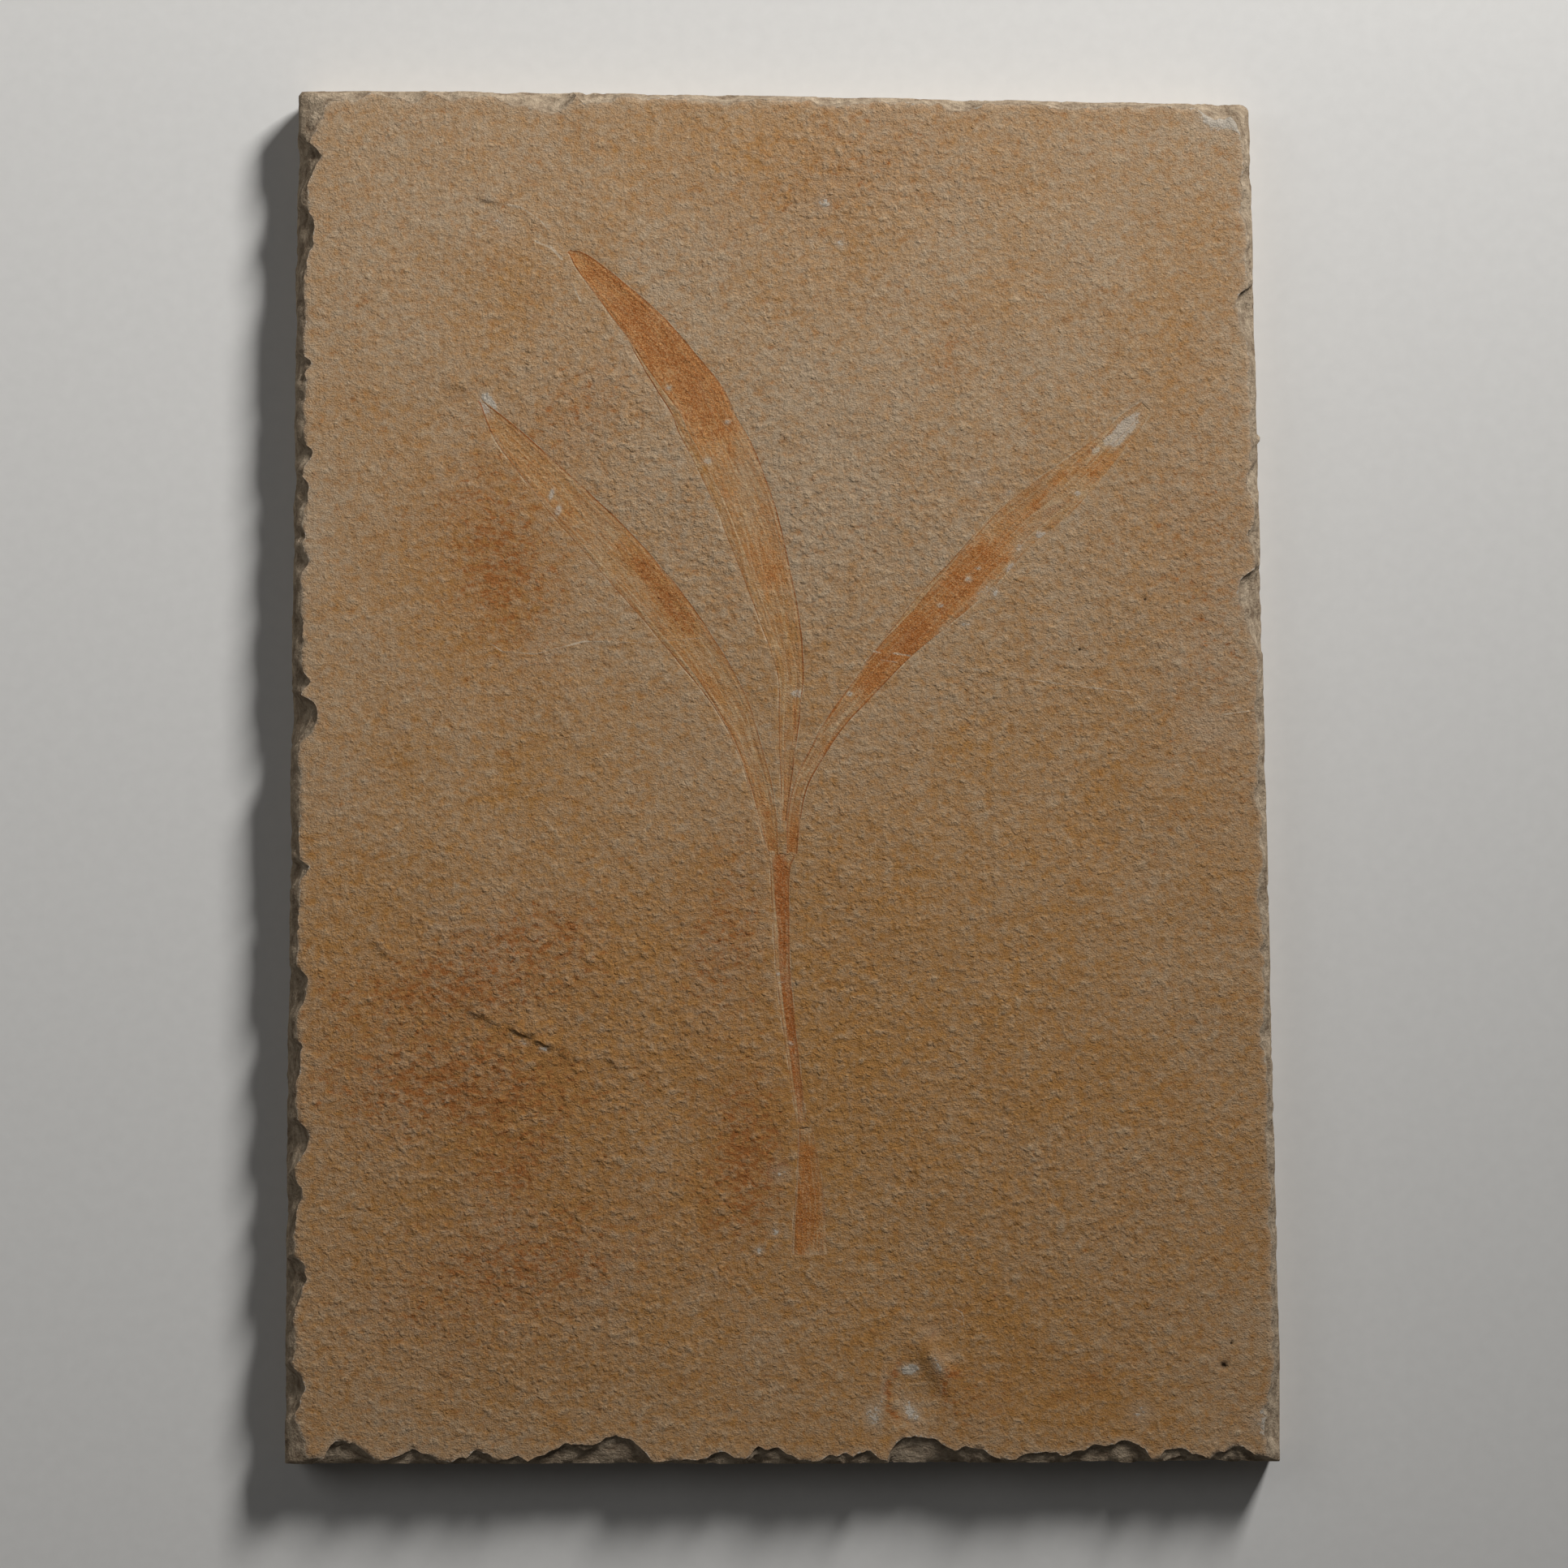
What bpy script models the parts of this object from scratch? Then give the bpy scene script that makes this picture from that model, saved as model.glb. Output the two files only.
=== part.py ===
"""Fossil leaf plate: a trimmed limestone plate lying on its back, with a stem and three leaves in its face.

The plate's height runs along Y and its width along X. The origin is under the middle of the plate, on the
surface that it lies on.
"""

import math
import random

import bmesh
import bpy
from mathutils import Matrix, Vector, noise

MM = 0.001

# The plate. Its four corners are those of the widest outline, which tapers a little towards the top.
PLATE_THICKNESS = 12.0 * MM
TOP_LEFT = Vector((-105.6, 150.8)) * MM
TOP_RIGHT = Vector((101.9, 147.0)) * MM
BOTTOM_LEFT = Vector((-109.2, -150.5)) * MM
BOTTOM_RIGHT = Vector((109.2, -149.4)) * MM
TOP_LEFT_WEAR = 1.6 * MM
TOP_RIGHT_WEAR = 1.0 * MM
BOTTOM_WEAR = 0.2 * MM

# Each side of the outline: its two corners, its outward direction, and the axis that it runs along.
SIDES = {
    "left": (BOTTOM_LEFT, TOP_LEFT, Vector((-1, 0)), 1),
    "right": (BOTTOM_RIGHT, TOP_RIGHT, Vector((1, 0)), 1),
    "top": (TOP_LEFT, TOP_RIGHT, Vector((0, 1)), 0),
    "bottom": (BOTTOM_LEFT, BOTTOM_RIGHT, Vector((0, -1)), 0),
}

# The front face is a net of cells, fine enough for the broad swells of a split bedding face.
CELLS_ACROSS = 26
CELLS_ALONG = 36
BROAD_SWELL = 55.0 * MM
BROAD_RISE = 0.25 * MM
SMALL_SWELL = 13.0 * MM
SMALL_RISE = 0.16 * MM

# The broken edge, from the front face down to the back. Each ring has its height above the back, and how far
# it stands inside the widest outline on the left, right, top and bottom side.
EDGE_RINGS = (
    (12.0 * MM, (3.4 * MM, 1.5 * MM, 1.7 * MM, 1.4 * MM)),
    (10.3 * MM, (2.3 * MM, 0.6 * MM, 0.9 * MM, 0.8 * MM)),
    (7.2 * MM, (0.8 * MM, 0.2 * MM, 0.3 * MM, 0.3 * MM)),
    (4.0 * MM, (0.0, 0.0, 0.0, 0.0)),
    (0.0, (1.1 * MM, 0.9 * MM, 1.0 * MM, 1.0 * MM)),
)
EDGE_GRAIN = 9.0 * MM
EDGE_WANDER = 0.7 * MM

# Chips along the front edge: side, then place along it, length and reach into the front face in millimetres.
CHIPS = (
    ("left", 138.5, 12.0, 0.8),
    ("left", 124.5, 14.0, 0.9),
    ("left", 108.0, 12.0, 0.8),
    ("left", 92.6, 7.0, 1.2),
    ("left", 73.0, 5.0, 1.6),
    ("left", 50.5, 9.0, 0.9),
    ("left", 13.7, 12.0, 1.8),
    ("left", -18.5, 8.0, 1.0),
    ("left", -41.2, 7.0, 1.2),
    ("left", -57.0, 10.0, 0.8),
    ("left", -78.5, 14.0, 1.3),
    ("left", -107.0, 9.0, 1.2),
    ("left", -127.0, 16.0, 1.2),
    ("top", -92.0, 22.0, 0.7),
    ("top", -55.5, 21.0, 2.2),
    ("top", -40.0, 11.0, 1.2),
    ("top", 43.0, 13.0, 2.2),
    ("top", 95.0, 12.0, 3.0),
    ("right", 100.4, 15.0, 1.1),
    ("right", 39.0, 15.0, 1.4),
    ("right", -20.0, 10.0, 0.7),
    ("right", -112.0, 18.0, 0.9),
    ("bottom", -98.3, 16.0, 3.6),
    ("bottom", -82.5, 15.0, 1.0),
    ("bottom", -68.9, 10.0, 1.2),
    ("bottom", -39.8, 22.0, 4.4),
    ("bottom", -4.0, 9.0, 1.0),
    ("bottom", 29.1, 15.0, 4.6),
    ("bottom", 74.3, 17.0, 3.3),
)
CHIP_LEAST_DROP = 3.0 * MM
CHIP_SETBACK = 2.5 * MM
CHIP_LIFT = 0.3 * MM

# Smaller breaks all round the wall of the plate, at varying heights.
BREAK_SPACING = 34.0 * MM
BREAK_LENGTHS = (9.0 * MM, 20.0 * MM)
BREAK_DEPTHS = (0.5 * MM, 1.3 * MM)
BREAK_HEIGHTS = (2.5 * MM, 8.0 * MM)
BREAK_TALLNESS = (0.25, 0.5)
BREAK_SEED = 7

# Bedding ledges, shallow flake scars on the front face: middle, length and breadth in millimetres, and turn.
LEDGES = (
    (-55.5, -54.5, 21.0, 4.6, -34.0),
    (-88.0, -37.5, 9.0, 3.4, -38.0),
    (-62.5, 125.6, 10.0, 2.6, -14.0),
    (-51.0, 118.5, 12.0, 2.6, -40.0),
)
LEDGE_DEPTH = 0.5 * MM

# The small oval imprint near the bottom edge: a dished hollow under a hooked fold of stone.
IMPRINT_MIDDLE = (28.8 * MM, -134.6 * MM)
IMPRINT_LENGTH = 16.5 * MM
IMPRINT_BREADTH = 12.0 * MM
IMPRINT_DEPTH = 0.8 * MM
IMPRINT_TURN = -18.0
FOLD_MIDDLE = (33.6 * MM, -127.8 * MM)
FOLD_LENGTH = 12.5 * MM
FOLD_BREADTH = 4.8 * MM
FOLD_RISE = 0.8 * MM
FOLD_TURN = -60.0

# The plant is a thin film in an impression of its own. Each station along a piece has its x, y and breadth in
# millimetres.
FILM_THICKNESS = 0.4 * MM
FILM_SINK = 0.2 * MM
FILM_GAP = 0.3 * MM
FILM_RIB_RISE = 0.08 * MM
FILM_RIB_PLACE = 0.67
FILM_RIB_SPREAD = 0.2
FILM_TROUGH = 0.06 * MM
NARROWEST_RECESS = 1.0 * MM
RECESS_DEPTH = 1.3 * MM
RECESS_STEP = 0.02 * MM
RECESS_SAMPLES = {"left_leaf": 26, "middle_leaf": 28, "right_leaf": 26, "stem": 12, "stem_base": 5}

LEFT_LEAF = (
    (-66.2, 82.6, 0.6),
    (-60.4, 75.0, 5.5),
    (-47.9, 61.4, 9.1),
    (-34.3, 46.9, 10.7),
    (-21.9, 32.0, 10.0),
    (-11.7, 17.1, 7.5),
    (-7.1, 6.1, 5.5),
    (-4.0, -5.0, 4.6),
    (-2.0, -16.6, 2.6),
)
MIDDLE_LEAF = (
    (-46.7, 115.2, 0.6),
    (-42.9, 112.0, 4.4),
    (-31.0, 99.4, 8.7),
    (-18.5, 82.9, 11.6),
    (-11.1, 67.0, 13.0),
    (-5.9, 52.9, 11.8),
    (-0.6, 34.7, 8.7),
    (1.8, 22.5, 5.7),
    (1.3, 9.9, 4.2),
    (0.7, -3.4, 1.9),
    (0.3, -9.5, 0.8),
)
RIGHT_LEAF = (
    (79.6, 80.6, 2.6),
    (72.5, 73.0, 5.6),
    (59.6, 62.6, 8.7),
    (48.4, 51.6, 11.2),
    (38.9, 41.4, 11.6),
    (28.6, 31.4, 8.8),
    (16.0, 17.2, 5.5),
    (8.2, 5.6, 4.0),
    (4.3, -4.0, 3.6),
    (2.0, -16.6, 2.6),
)
STEM = (
    (-0.1, -17.4, 6.0),
    (-0.5, -20.6, 4.3),
    (-0.3, -31.6, 3.7),
    (0.2, -42.8, 3.2),
    (1.2, -52.0, 2.85),
    (2.7, -64.0, 2.5),
    (4.2, -75.3, 2.3),
)
STEM_BASE = (
    (5.0, -76.6, 3.2),
    (5.6, -84.0, 4.6),
    (6.0, -93.0, 6.4),
    (6.0, -104.4, 7.8),
)

# Each piece of the plant: its stations, and the number of cells across and along its film.
PLANT = {
    "left_leaf": (LEFT_LEAF, 6, 20),
    "middle_leaf": (MIDDLE_LEAF, 6, 22),
    "right_leaf": (RIGHT_LEAF, 6, 20),
    "stem": (STEM, 4, 14),
    "stem_base": (STEM_BASE, 4, 6),
}

LIMESTONE_COLOUR = "#C4A079"
FILM_COLOURS = {
    "left_leaf": "#B87B45",
    "middle_leaf": "#B46C35",
    "right_leaf": "#A85F2B",
    "stem": "#9C5422",
    "stem_base": "#B0763F",
}


def linear_colour(hex_colour):
    """Linear RGBA of an sRGB hex colour."""
    channels = [int(hex_colour[i : i + 2], 16) / 255 for i in (1, 3, 5)]
    linear = [c / 12.92 if c <= 0.04045 else ((c + 0.055) / 1.055) ** 2.4 for c in channels]
    return (*linear, 1.0)


def make_material(name, hex_colour, roughness):
    """Principled material of one plain colour."""
    material = bpy.data.materials.new(name)
    material.use_nodes = True
    shader = material.node_tree.nodes["Principled BSDF"]
    shader.inputs["Base Color"].default_value = linear_colour(hex_colour)
    shader.inputs["Roughness"].default_value = roughness
    shader.inputs["Metallic"].default_value = 0.0
    return material


def make_collection(name):
    """New collection in the scene."""
    collection = bpy.data.collections.new(name)
    bpy.context.scene.collection.children.link(collection)
    return collection


def add_object(name, mesh, collection):
    """Object of a mesh, in a collection."""
    item = bpy.data.objects.new(name, mesh)
    collection.objects.link(item)
    return item


def face_height(x, y):
    """Height of the split bedding face at a place on the plate."""
    broad = noise.noise(Vector((x / BROAD_SWELL, y / BROAD_SWELL, 0.5)))
    small = noise.noise(Vector((x / SMALL_SWELL, y / SMALL_SWELL, 3.5)))
    return PLATE_THICKNESS + BROAD_RISE * broad + SMALL_RISE * small


def on_face(x, y):
    """Point on the bedding face."""
    return (x, y, face_height(x, y))


def plate_point(u, v, insets):
    """Place at u, v (each from -1 to 1) inside an outline with the left, right, top and bottom insets."""
    left, right, top, bottom = insets
    top_left = TOP_LEFT + Vector((left, -top))
    top_right = TOP_RIGHT + Vector((-right, -top))
    bottom_left = BOTTOM_LEFT + Vector((left, bottom))
    bottom_right = BOTTOM_RIGHT + Vector((-right, bottom))
    upper = top_left.lerp(top_right, (u + 1) / 2)
    lower = bottom_left.lerp(bottom_right, (u + 1) / 2)
    return lower.lerp(upper, (v + 1) / 2)


def edge_point(u, v, ring):
    """Place on one ring of the broken edge, worn at the corners and wandering inwards with the fracture."""
    height, insets = EDGE_RINGS[ring]
    place = plate_point(u, v, insets)
    inward = Vector((-u if abs(u) == 1 else 0, -v if abs(v) == 1 else 0))
    if inward.x and inward.y:
        top_wear = TOP_LEFT_WEAR if u < 0 else TOP_RIGHT_WEAR
        return place + inward * (top_wear if v > 0 else BOTTOM_WEAR), height
    wander = 0.5 + 0.5 * noise.noise(Vector((place.x / EDGE_GRAIN, place.y / EDGE_GRAIN, 1.7 * ring)))
    return place + inward * wander * EDGE_WANDER, height


def make_plate(collection):
    """The stone blank: a net for the front face, rings drawn down for the broken edge, and a flat back."""
    net = bmesh.new()
    bmesh.ops.create_grid(net, x_segments=CELLS_ACROSS, y_segments=CELLS_ALONG, size=1.0)
    places = {vert: (round(vert.co.x, 4), round(vert.co.y, 4)) for vert in net.verts}
    for vert, (u, v) in places.items():
        on_edge = abs(u) == 1 or abs(v) == 1
        place = edge_point(u, v, 0)[0] if on_edge else plate_point(u, v, EDGE_RINGS[0][1])
        vert.co = on_face(*place)
    rim = [edge for edge in net.edges if edge.is_boundary]
    for ring in range(1, len(EDGE_RINGS)):
        drawn = bmesh.ops.extrude_edge_only(net, edges=rim)["geom"]
        rim = [item for item in drawn if isinstance(item, bmesh.types.BMEdge) and item.is_boundary]
        for vert in {vert for edge in rim for vert in edge.verts}:
            above = next(e.other_vert(vert) for e in vert.link_edges if not e.is_boundary)
            places[vert] = places[above]
            place, height = edge_point(*places[vert], ring)
            vert.co = (place.x, place.y, height)
    bmesh.ops.contextual_create(net, geom=rim)
    bmesh.ops.recalc_face_normals(net, faces=net.faces)
    mesh = bpy.data.meshes.new("limestone_slab")
    net.to_mesh(mesh)
    net.free()
    return add_object("limestone_slab", mesh, collection)


def along_stations(stations, share):
    """Middle, direction and breadth at a share of a piece's length, on a curve through its stations."""
    points = [Vector(station) * MM for station in stations]
    lengths = [(b.xy - a.xy).length for a, b in zip(points, points[1:])]
    target = share * sum(lengths)
    span = 0
    while span < len(lengths) - 1 and target > lengths[span]:
        target -= lengths[span]
        span += 1
    t = min(target / lengths[span], 1.0)
    before = points[span - 1] if span > 0 else 2 * points[0] - points[1]
    start, end = points[span], points[span + 1]
    after = points[span + 2] if span + 2 < len(points) else 2 * points[-1] - points[-2]
    first = end - before
    second = 2 * before - 5 * start + 4 * end - after
    third = 3 * start - before - 3 * end + after
    curve = start + 0.5 * t * (first + t * (second + t * third))
    slope = first + 2 * t * second + 3 * t * t * third
    return curve.xy, slope.xy.normalized(), max(curve.z, NARROWEST_RECESS)


def film_point(stations, side, share, inset):
    """Place on a piece of the plant: side runs from -1 to 1 across it, and inset keeps it off its recess."""
    middle, ahead, breadth = along_stations(stations, share)
    across = Vector((ahead.y, -ahead.x))
    return middle + across * side * (breadth / 2 - inset)


def make_film(name, stations, cells_across, cells_along, collection):
    """One piece of the plant: a net along its stations with ribs near both margins, given a thickness."""
    net = bmesh.new()
    bmesh.ops.create_grid(net, x_segments=cells_across, y_segments=cells_along, size=1.0)
    length = sum((Vector(b[:2]) - Vector(a[:2])).length for a, b in zip(stations, stations[1:])) * MM
    end_gap = FILM_GAP / length
    for vert in net.verts:
        side, share = vert.co.x, end_gap + (vert.co.y + 1) / 2 * (1 - 2 * end_gap)
        place = film_point(stations, side, share, FILM_GAP)
        rib = FILM_RIB_RISE * math.exp(-(((abs(side) - FILM_RIB_PLACE) / FILM_RIB_SPREAD) ** 2))
        trough = FILM_TROUGH * math.cos(side * math.pi / 2)
        vert.co = (place.x, place.y, face_height(place.x, place.y) - FILM_SINK + rib - trough)
    bmesh.ops.recalc_face_normals(net, faces=net.faces)
    if sum(face.normal.z for face in net.faces) < 0:
        bmesh.ops.reverse_faces(net, faces=net.faces)
    mesh = bpy.data.meshes.new(name)
    net.to_mesh(mesh)
    net.free()
    mesh.shade_smooth()
    film = add_object(name, mesh, collection)
    thickness = film.modifiers.new("thickness", "SOLIDIFY")
    thickness.thickness = FILM_THICKNESS
    thickness.offset = -1.0
    mesh.materials.append(make_material(name + "_film", FILM_COLOURS[name], 0.75))
    return film


def mesh_from_curve(name, holder, collection):
    """A curve's solid as a mesh with its caps welded, in the curve's place."""
    bpy.context.view_layer.update()
    evaluated = holder.evaluated_get(bpy.context.evaluated_depsgraph_get())
    mesh = bpy.data.meshes.new_from_object(evaluated)
    net = bmesh.new()
    net.from_mesh(mesh)
    bmesh.ops.remove_doubles(net, verts=net.verts, dist=0.000001)
    net.to_mesh(mesh)
    net.free()
    solid = add_object(name, mesh, collection)
    solid.matrix_world = holder.matrix_world
    bpy.data.objects.remove(holder)
    return solid


def make_recess(name, stations, samples, depth, collection):
    """Cutter for the impression round one piece of the plant: its outline, with a flat floor."""
    shares = [i / samples for i in range(samples + 1)]
    one_margin = [film_point(stations, 1, share, 0.0) for share in shares]
    other_margin = [film_point(stations, -1, share, 0.0) for share in reversed(shares)]
    curve = bpy.data.curves.new(name, "CURVE")
    curve.dimensions = "2D"
    curve.fill_mode = "BOTH"
    curve.extrude = depth
    outline = curve.splines.new("POLY")
    corners = one_margin + other_margin
    outline.points.add(len(corners) - 1)
    for point, corner in zip(outline.points, corners):
        point.co = (corner.x, corner.y, 0.0, 1.0)
    outline.use_cyclic_u = True
    holder = bpy.data.objects.new(name, curve)
    holder.location.z = PLATE_THICKNESS
    bpy.context.scene.collection.objects.link(holder)
    return mesh_from_curve(name + "_recess", holder, collection)


def make_lens(name, place, size, turn, collection, subdivisions=2):
    """Faceted ellipsoid of a given size, turned in the plate's plane."""
    net = bmesh.new()
    placing = Matrix.Translation(place) @ Matrix.Rotation(math.radians(turn), 4, "Z")
    shaping = Matrix.Diagonal((size[0] / 2, size[1] / 2, size[2] / 2, 1.0))
    bmesh.ops.create_icosphere(net, subdivisions=subdivisions, radius=1.0, matrix=placing @ shaping)
    mesh = bpy.data.meshes.new(name)
    net.to_mesh(mesh)
    net.free()
    return add_object(name, mesh, collection)


def side_place(side, along):
    """Place on the widest outline, at a distance along one side, and that side's turn in the plate's plane."""
    start, end, outward, axis = SIDES[side]
    share = (along - start[axis]) / (end[axis] - start[axis])
    turn = math.degrees(math.atan2(end.y - start.y, end.x - start.x))
    return start.lerp(end, share), turn


def make_chip(index, side, along, length, reach, collection):
    """Cutter for one scallop broken off the front edge."""
    front_inset = dict(zip(SIDES, EDGE_RINGS[0][1]))[side]
    place, turn = side_place(side, along)
    middle = place + SIDES[side][2] * (CHIP_SETBACK - front_inset)
    size = (length, 2 * (reach + CHIP_SETBACK), 2 * (reach + CHIP_LEAST_DROP))
    return make_lens(f"chip_{index}", (*middle, PLATE_THICKNESS + CHIP_LIFT), size, turn, collection)


def make_wall_breaks(collection):
    """Cutters for the flat-faced breaks all round the wall."""
    chance = random.Random(BREAK_SEED)
    breaks = []
    for side, (start, end, outward, axis) in SIDES.items():
        along = start[axis] + BREAK_SPACING / 2
        while along < end[axis] - BREAK_SPACING / 3:
            place, turn = side_place(side, along + chance.uniform(0, 1) * BREAK_SPACING / 3)
            length = chance.uniform(*BREAK_LENGTHS)
            depth = chance.uniform(*BREAK_DEPTHS)
            height = chance.uniform(*BREAK_HEIGHTS)
            size = (length, 4 * depth, chance.uniform(*BREAK_TALLNESS) * length)
            middle = (*(place + outward * depth), height)
            breaks.append(make_lens(f"break_{len(breaks)}", middle, size, turn, collection, 1))
            along += BREAK_SPACING
    return breaks


def cut(plate, cutter, operation="DIFFERENCE"):
    """Cut the plate with a shape, or join the shape to it."""
    cutter.hide_render = True
    cutter.display_type = "WIRE"
    change = plate.modifiers.new(cutter.name, "BOOLEAN")
    change.operation = operation
    change.solver = "EXACT"
    change.object = cutter


def main():
    for item in list(bpy.data.objects):
        bpy.data.objects.remove(item)
    pieces = make_collection("fossil_leaf_plate")
    cutters = make_collection("cutters")

    plate = make_plate(pieces)
    plate.data.materials.append(make_material("split_limestone", LIMESTONE_COLOUR, 0.9))

    for index, (side, *chip) in enumerate(CHIPS):
        along, length, reach = (value * MM for value in chip)
        cut(plate, make_chip(index, side, along, length, reach, cutters))
    for wall_break in make_wall_breaks(cutters):
        cut(plate, wall_break)

    for index, (*ledge, turn) in enumerate(LEDGES):
        x, y, length, breadth = (value * MM for value in ledge)
        size = (length, breadth, 2 * LEDGE_DEPTH)
        cut(plate, make_lens(f"ledge_{index}", on_face(x, y), size, turn, cutters))

    hollow_size = (IMPRINT_BREADTH, IMPRINT_LENGTH, 2 * IMPRINT_DEPTH)
    cut(plate, make_lens("imprint_hollow", on_face(*IMPRINT_MIDDLE), hollow_size, IMPRINT_TURN, cutters))
    fold_size = (FOLD_LENGTH, FOLD_BREADTH, 2 * FOLD_RISE)
    cut(plate, make_lens("imprint_fold", on_face(*FOLD_MIDDLE), fold_size, FOLD_TURN, cutters), "UNION")

    for index, (name, (stations, cells_across, cells_along)) in enumerate(PLANT.items()):
        depth = RECESS_DEPTH + index * RECESS_STEP
        cut(plate, make_recess(name, stations, RECESS_SAMPLES[name], depth, cutters))
        make_film(name, stations, cells_across, cells_along, pieces)


main()
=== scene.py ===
import math

import bmesh
import bpy
import numpy as np
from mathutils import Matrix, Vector, kdtree, noise
from mathutils.geometry import delaunay_2d_cdt


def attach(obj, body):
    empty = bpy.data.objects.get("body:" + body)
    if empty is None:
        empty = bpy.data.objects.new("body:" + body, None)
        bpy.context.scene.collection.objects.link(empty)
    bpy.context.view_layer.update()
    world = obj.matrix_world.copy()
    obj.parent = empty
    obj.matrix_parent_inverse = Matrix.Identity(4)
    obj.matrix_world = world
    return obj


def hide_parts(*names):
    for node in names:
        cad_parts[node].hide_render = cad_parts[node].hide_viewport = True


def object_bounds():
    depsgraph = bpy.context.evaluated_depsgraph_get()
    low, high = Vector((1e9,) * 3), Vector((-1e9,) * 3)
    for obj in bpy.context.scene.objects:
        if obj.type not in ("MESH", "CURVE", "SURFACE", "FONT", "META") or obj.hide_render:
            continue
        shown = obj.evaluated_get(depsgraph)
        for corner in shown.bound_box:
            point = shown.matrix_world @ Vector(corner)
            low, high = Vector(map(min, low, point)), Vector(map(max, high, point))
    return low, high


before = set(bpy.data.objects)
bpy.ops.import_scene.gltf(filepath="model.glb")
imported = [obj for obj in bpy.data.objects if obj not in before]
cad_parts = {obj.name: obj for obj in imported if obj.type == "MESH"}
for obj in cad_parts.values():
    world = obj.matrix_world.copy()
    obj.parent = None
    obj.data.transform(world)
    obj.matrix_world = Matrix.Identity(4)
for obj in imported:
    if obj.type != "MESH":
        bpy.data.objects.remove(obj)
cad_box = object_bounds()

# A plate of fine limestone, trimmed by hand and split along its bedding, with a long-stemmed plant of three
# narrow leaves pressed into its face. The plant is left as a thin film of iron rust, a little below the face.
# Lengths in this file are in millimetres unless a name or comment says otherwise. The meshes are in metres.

MM = 0.001

# The plate's widest outline, corner by corner from the bottom left, anticlockwise, with the rounding of each
# corner.
CORNERS = np.array([(-109.8, -151.0), (109.7, -149.9), (102.4, 147.5), (-106.5, 151.2)])
CORNER_ROUNDING = (1.4, 0.8, 2.2, 2.8)
THICKNESS = 12.0
SIDES = ("bottom", "right", "top", "left")

# Heights on the broken edge, and how far it stands inside the widest outline there on each side.
EDGE_HEIGHTS = (0.0, 4.0, 8.0, 10.2, 11.2, 12.0)
EDGE_INSETS = {
    "bottom": (0.8, 0.2, 0.0, 0.0, 0.3, 0.9),
    "right": (0.7, 0.2, 0.0, 0.1, 0.5, 1.4),
    "top": (0.8, 0.2, 0.0, 0.0, 0.4, 1.0),
    "left": (0.9, 0.2, 0.0, 0.5, 1.3, 2.3),
}
# How much further the face stands in at each corner, x and y, and how far round the corner that reaches.
CORNER_WEAR = ((3.4, 1.0, 8.0), (-2.2, 0.6, 9.0), (-1.8, -1.8, 6.0), (3.8, -2.0, 9.0))
CORNER_FOOT = 10.0
# How far the break wanders, and the grain of that, then how rough it is by layers and finely, and how its rim
# crumbles.
EDGE_WANDER, EDGE_GRAIN = 0.5, 9.0
LAYER_DEPTH, FINE_DEPTH = 0.5, 0.5
LAYER_GRAIN, FINE_GRAIN = 7.0, 2.2
RIM_CRUMBLE, CRUMBLE_GRAIN = 0.8, 2.6
# How far below the face each ring of points on the broken edge lies.
RING_DROPS = (0.25, 0.55, 0.9, 1.3, 1.75, 2.25, 2.8, 3.4, 4.1, 5.0, 6.2, 8.0, 10.4, 12.0)
COLUMN_SPACING = 0.75
# A crumb of stone left standing on the right edge: its place along the side, half width, rise, and the drops
# that it spans.
NUB = (74.2, 1.1, 1.0, (1.0, 3.0))
CORNER_CALM = 4.0

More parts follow.
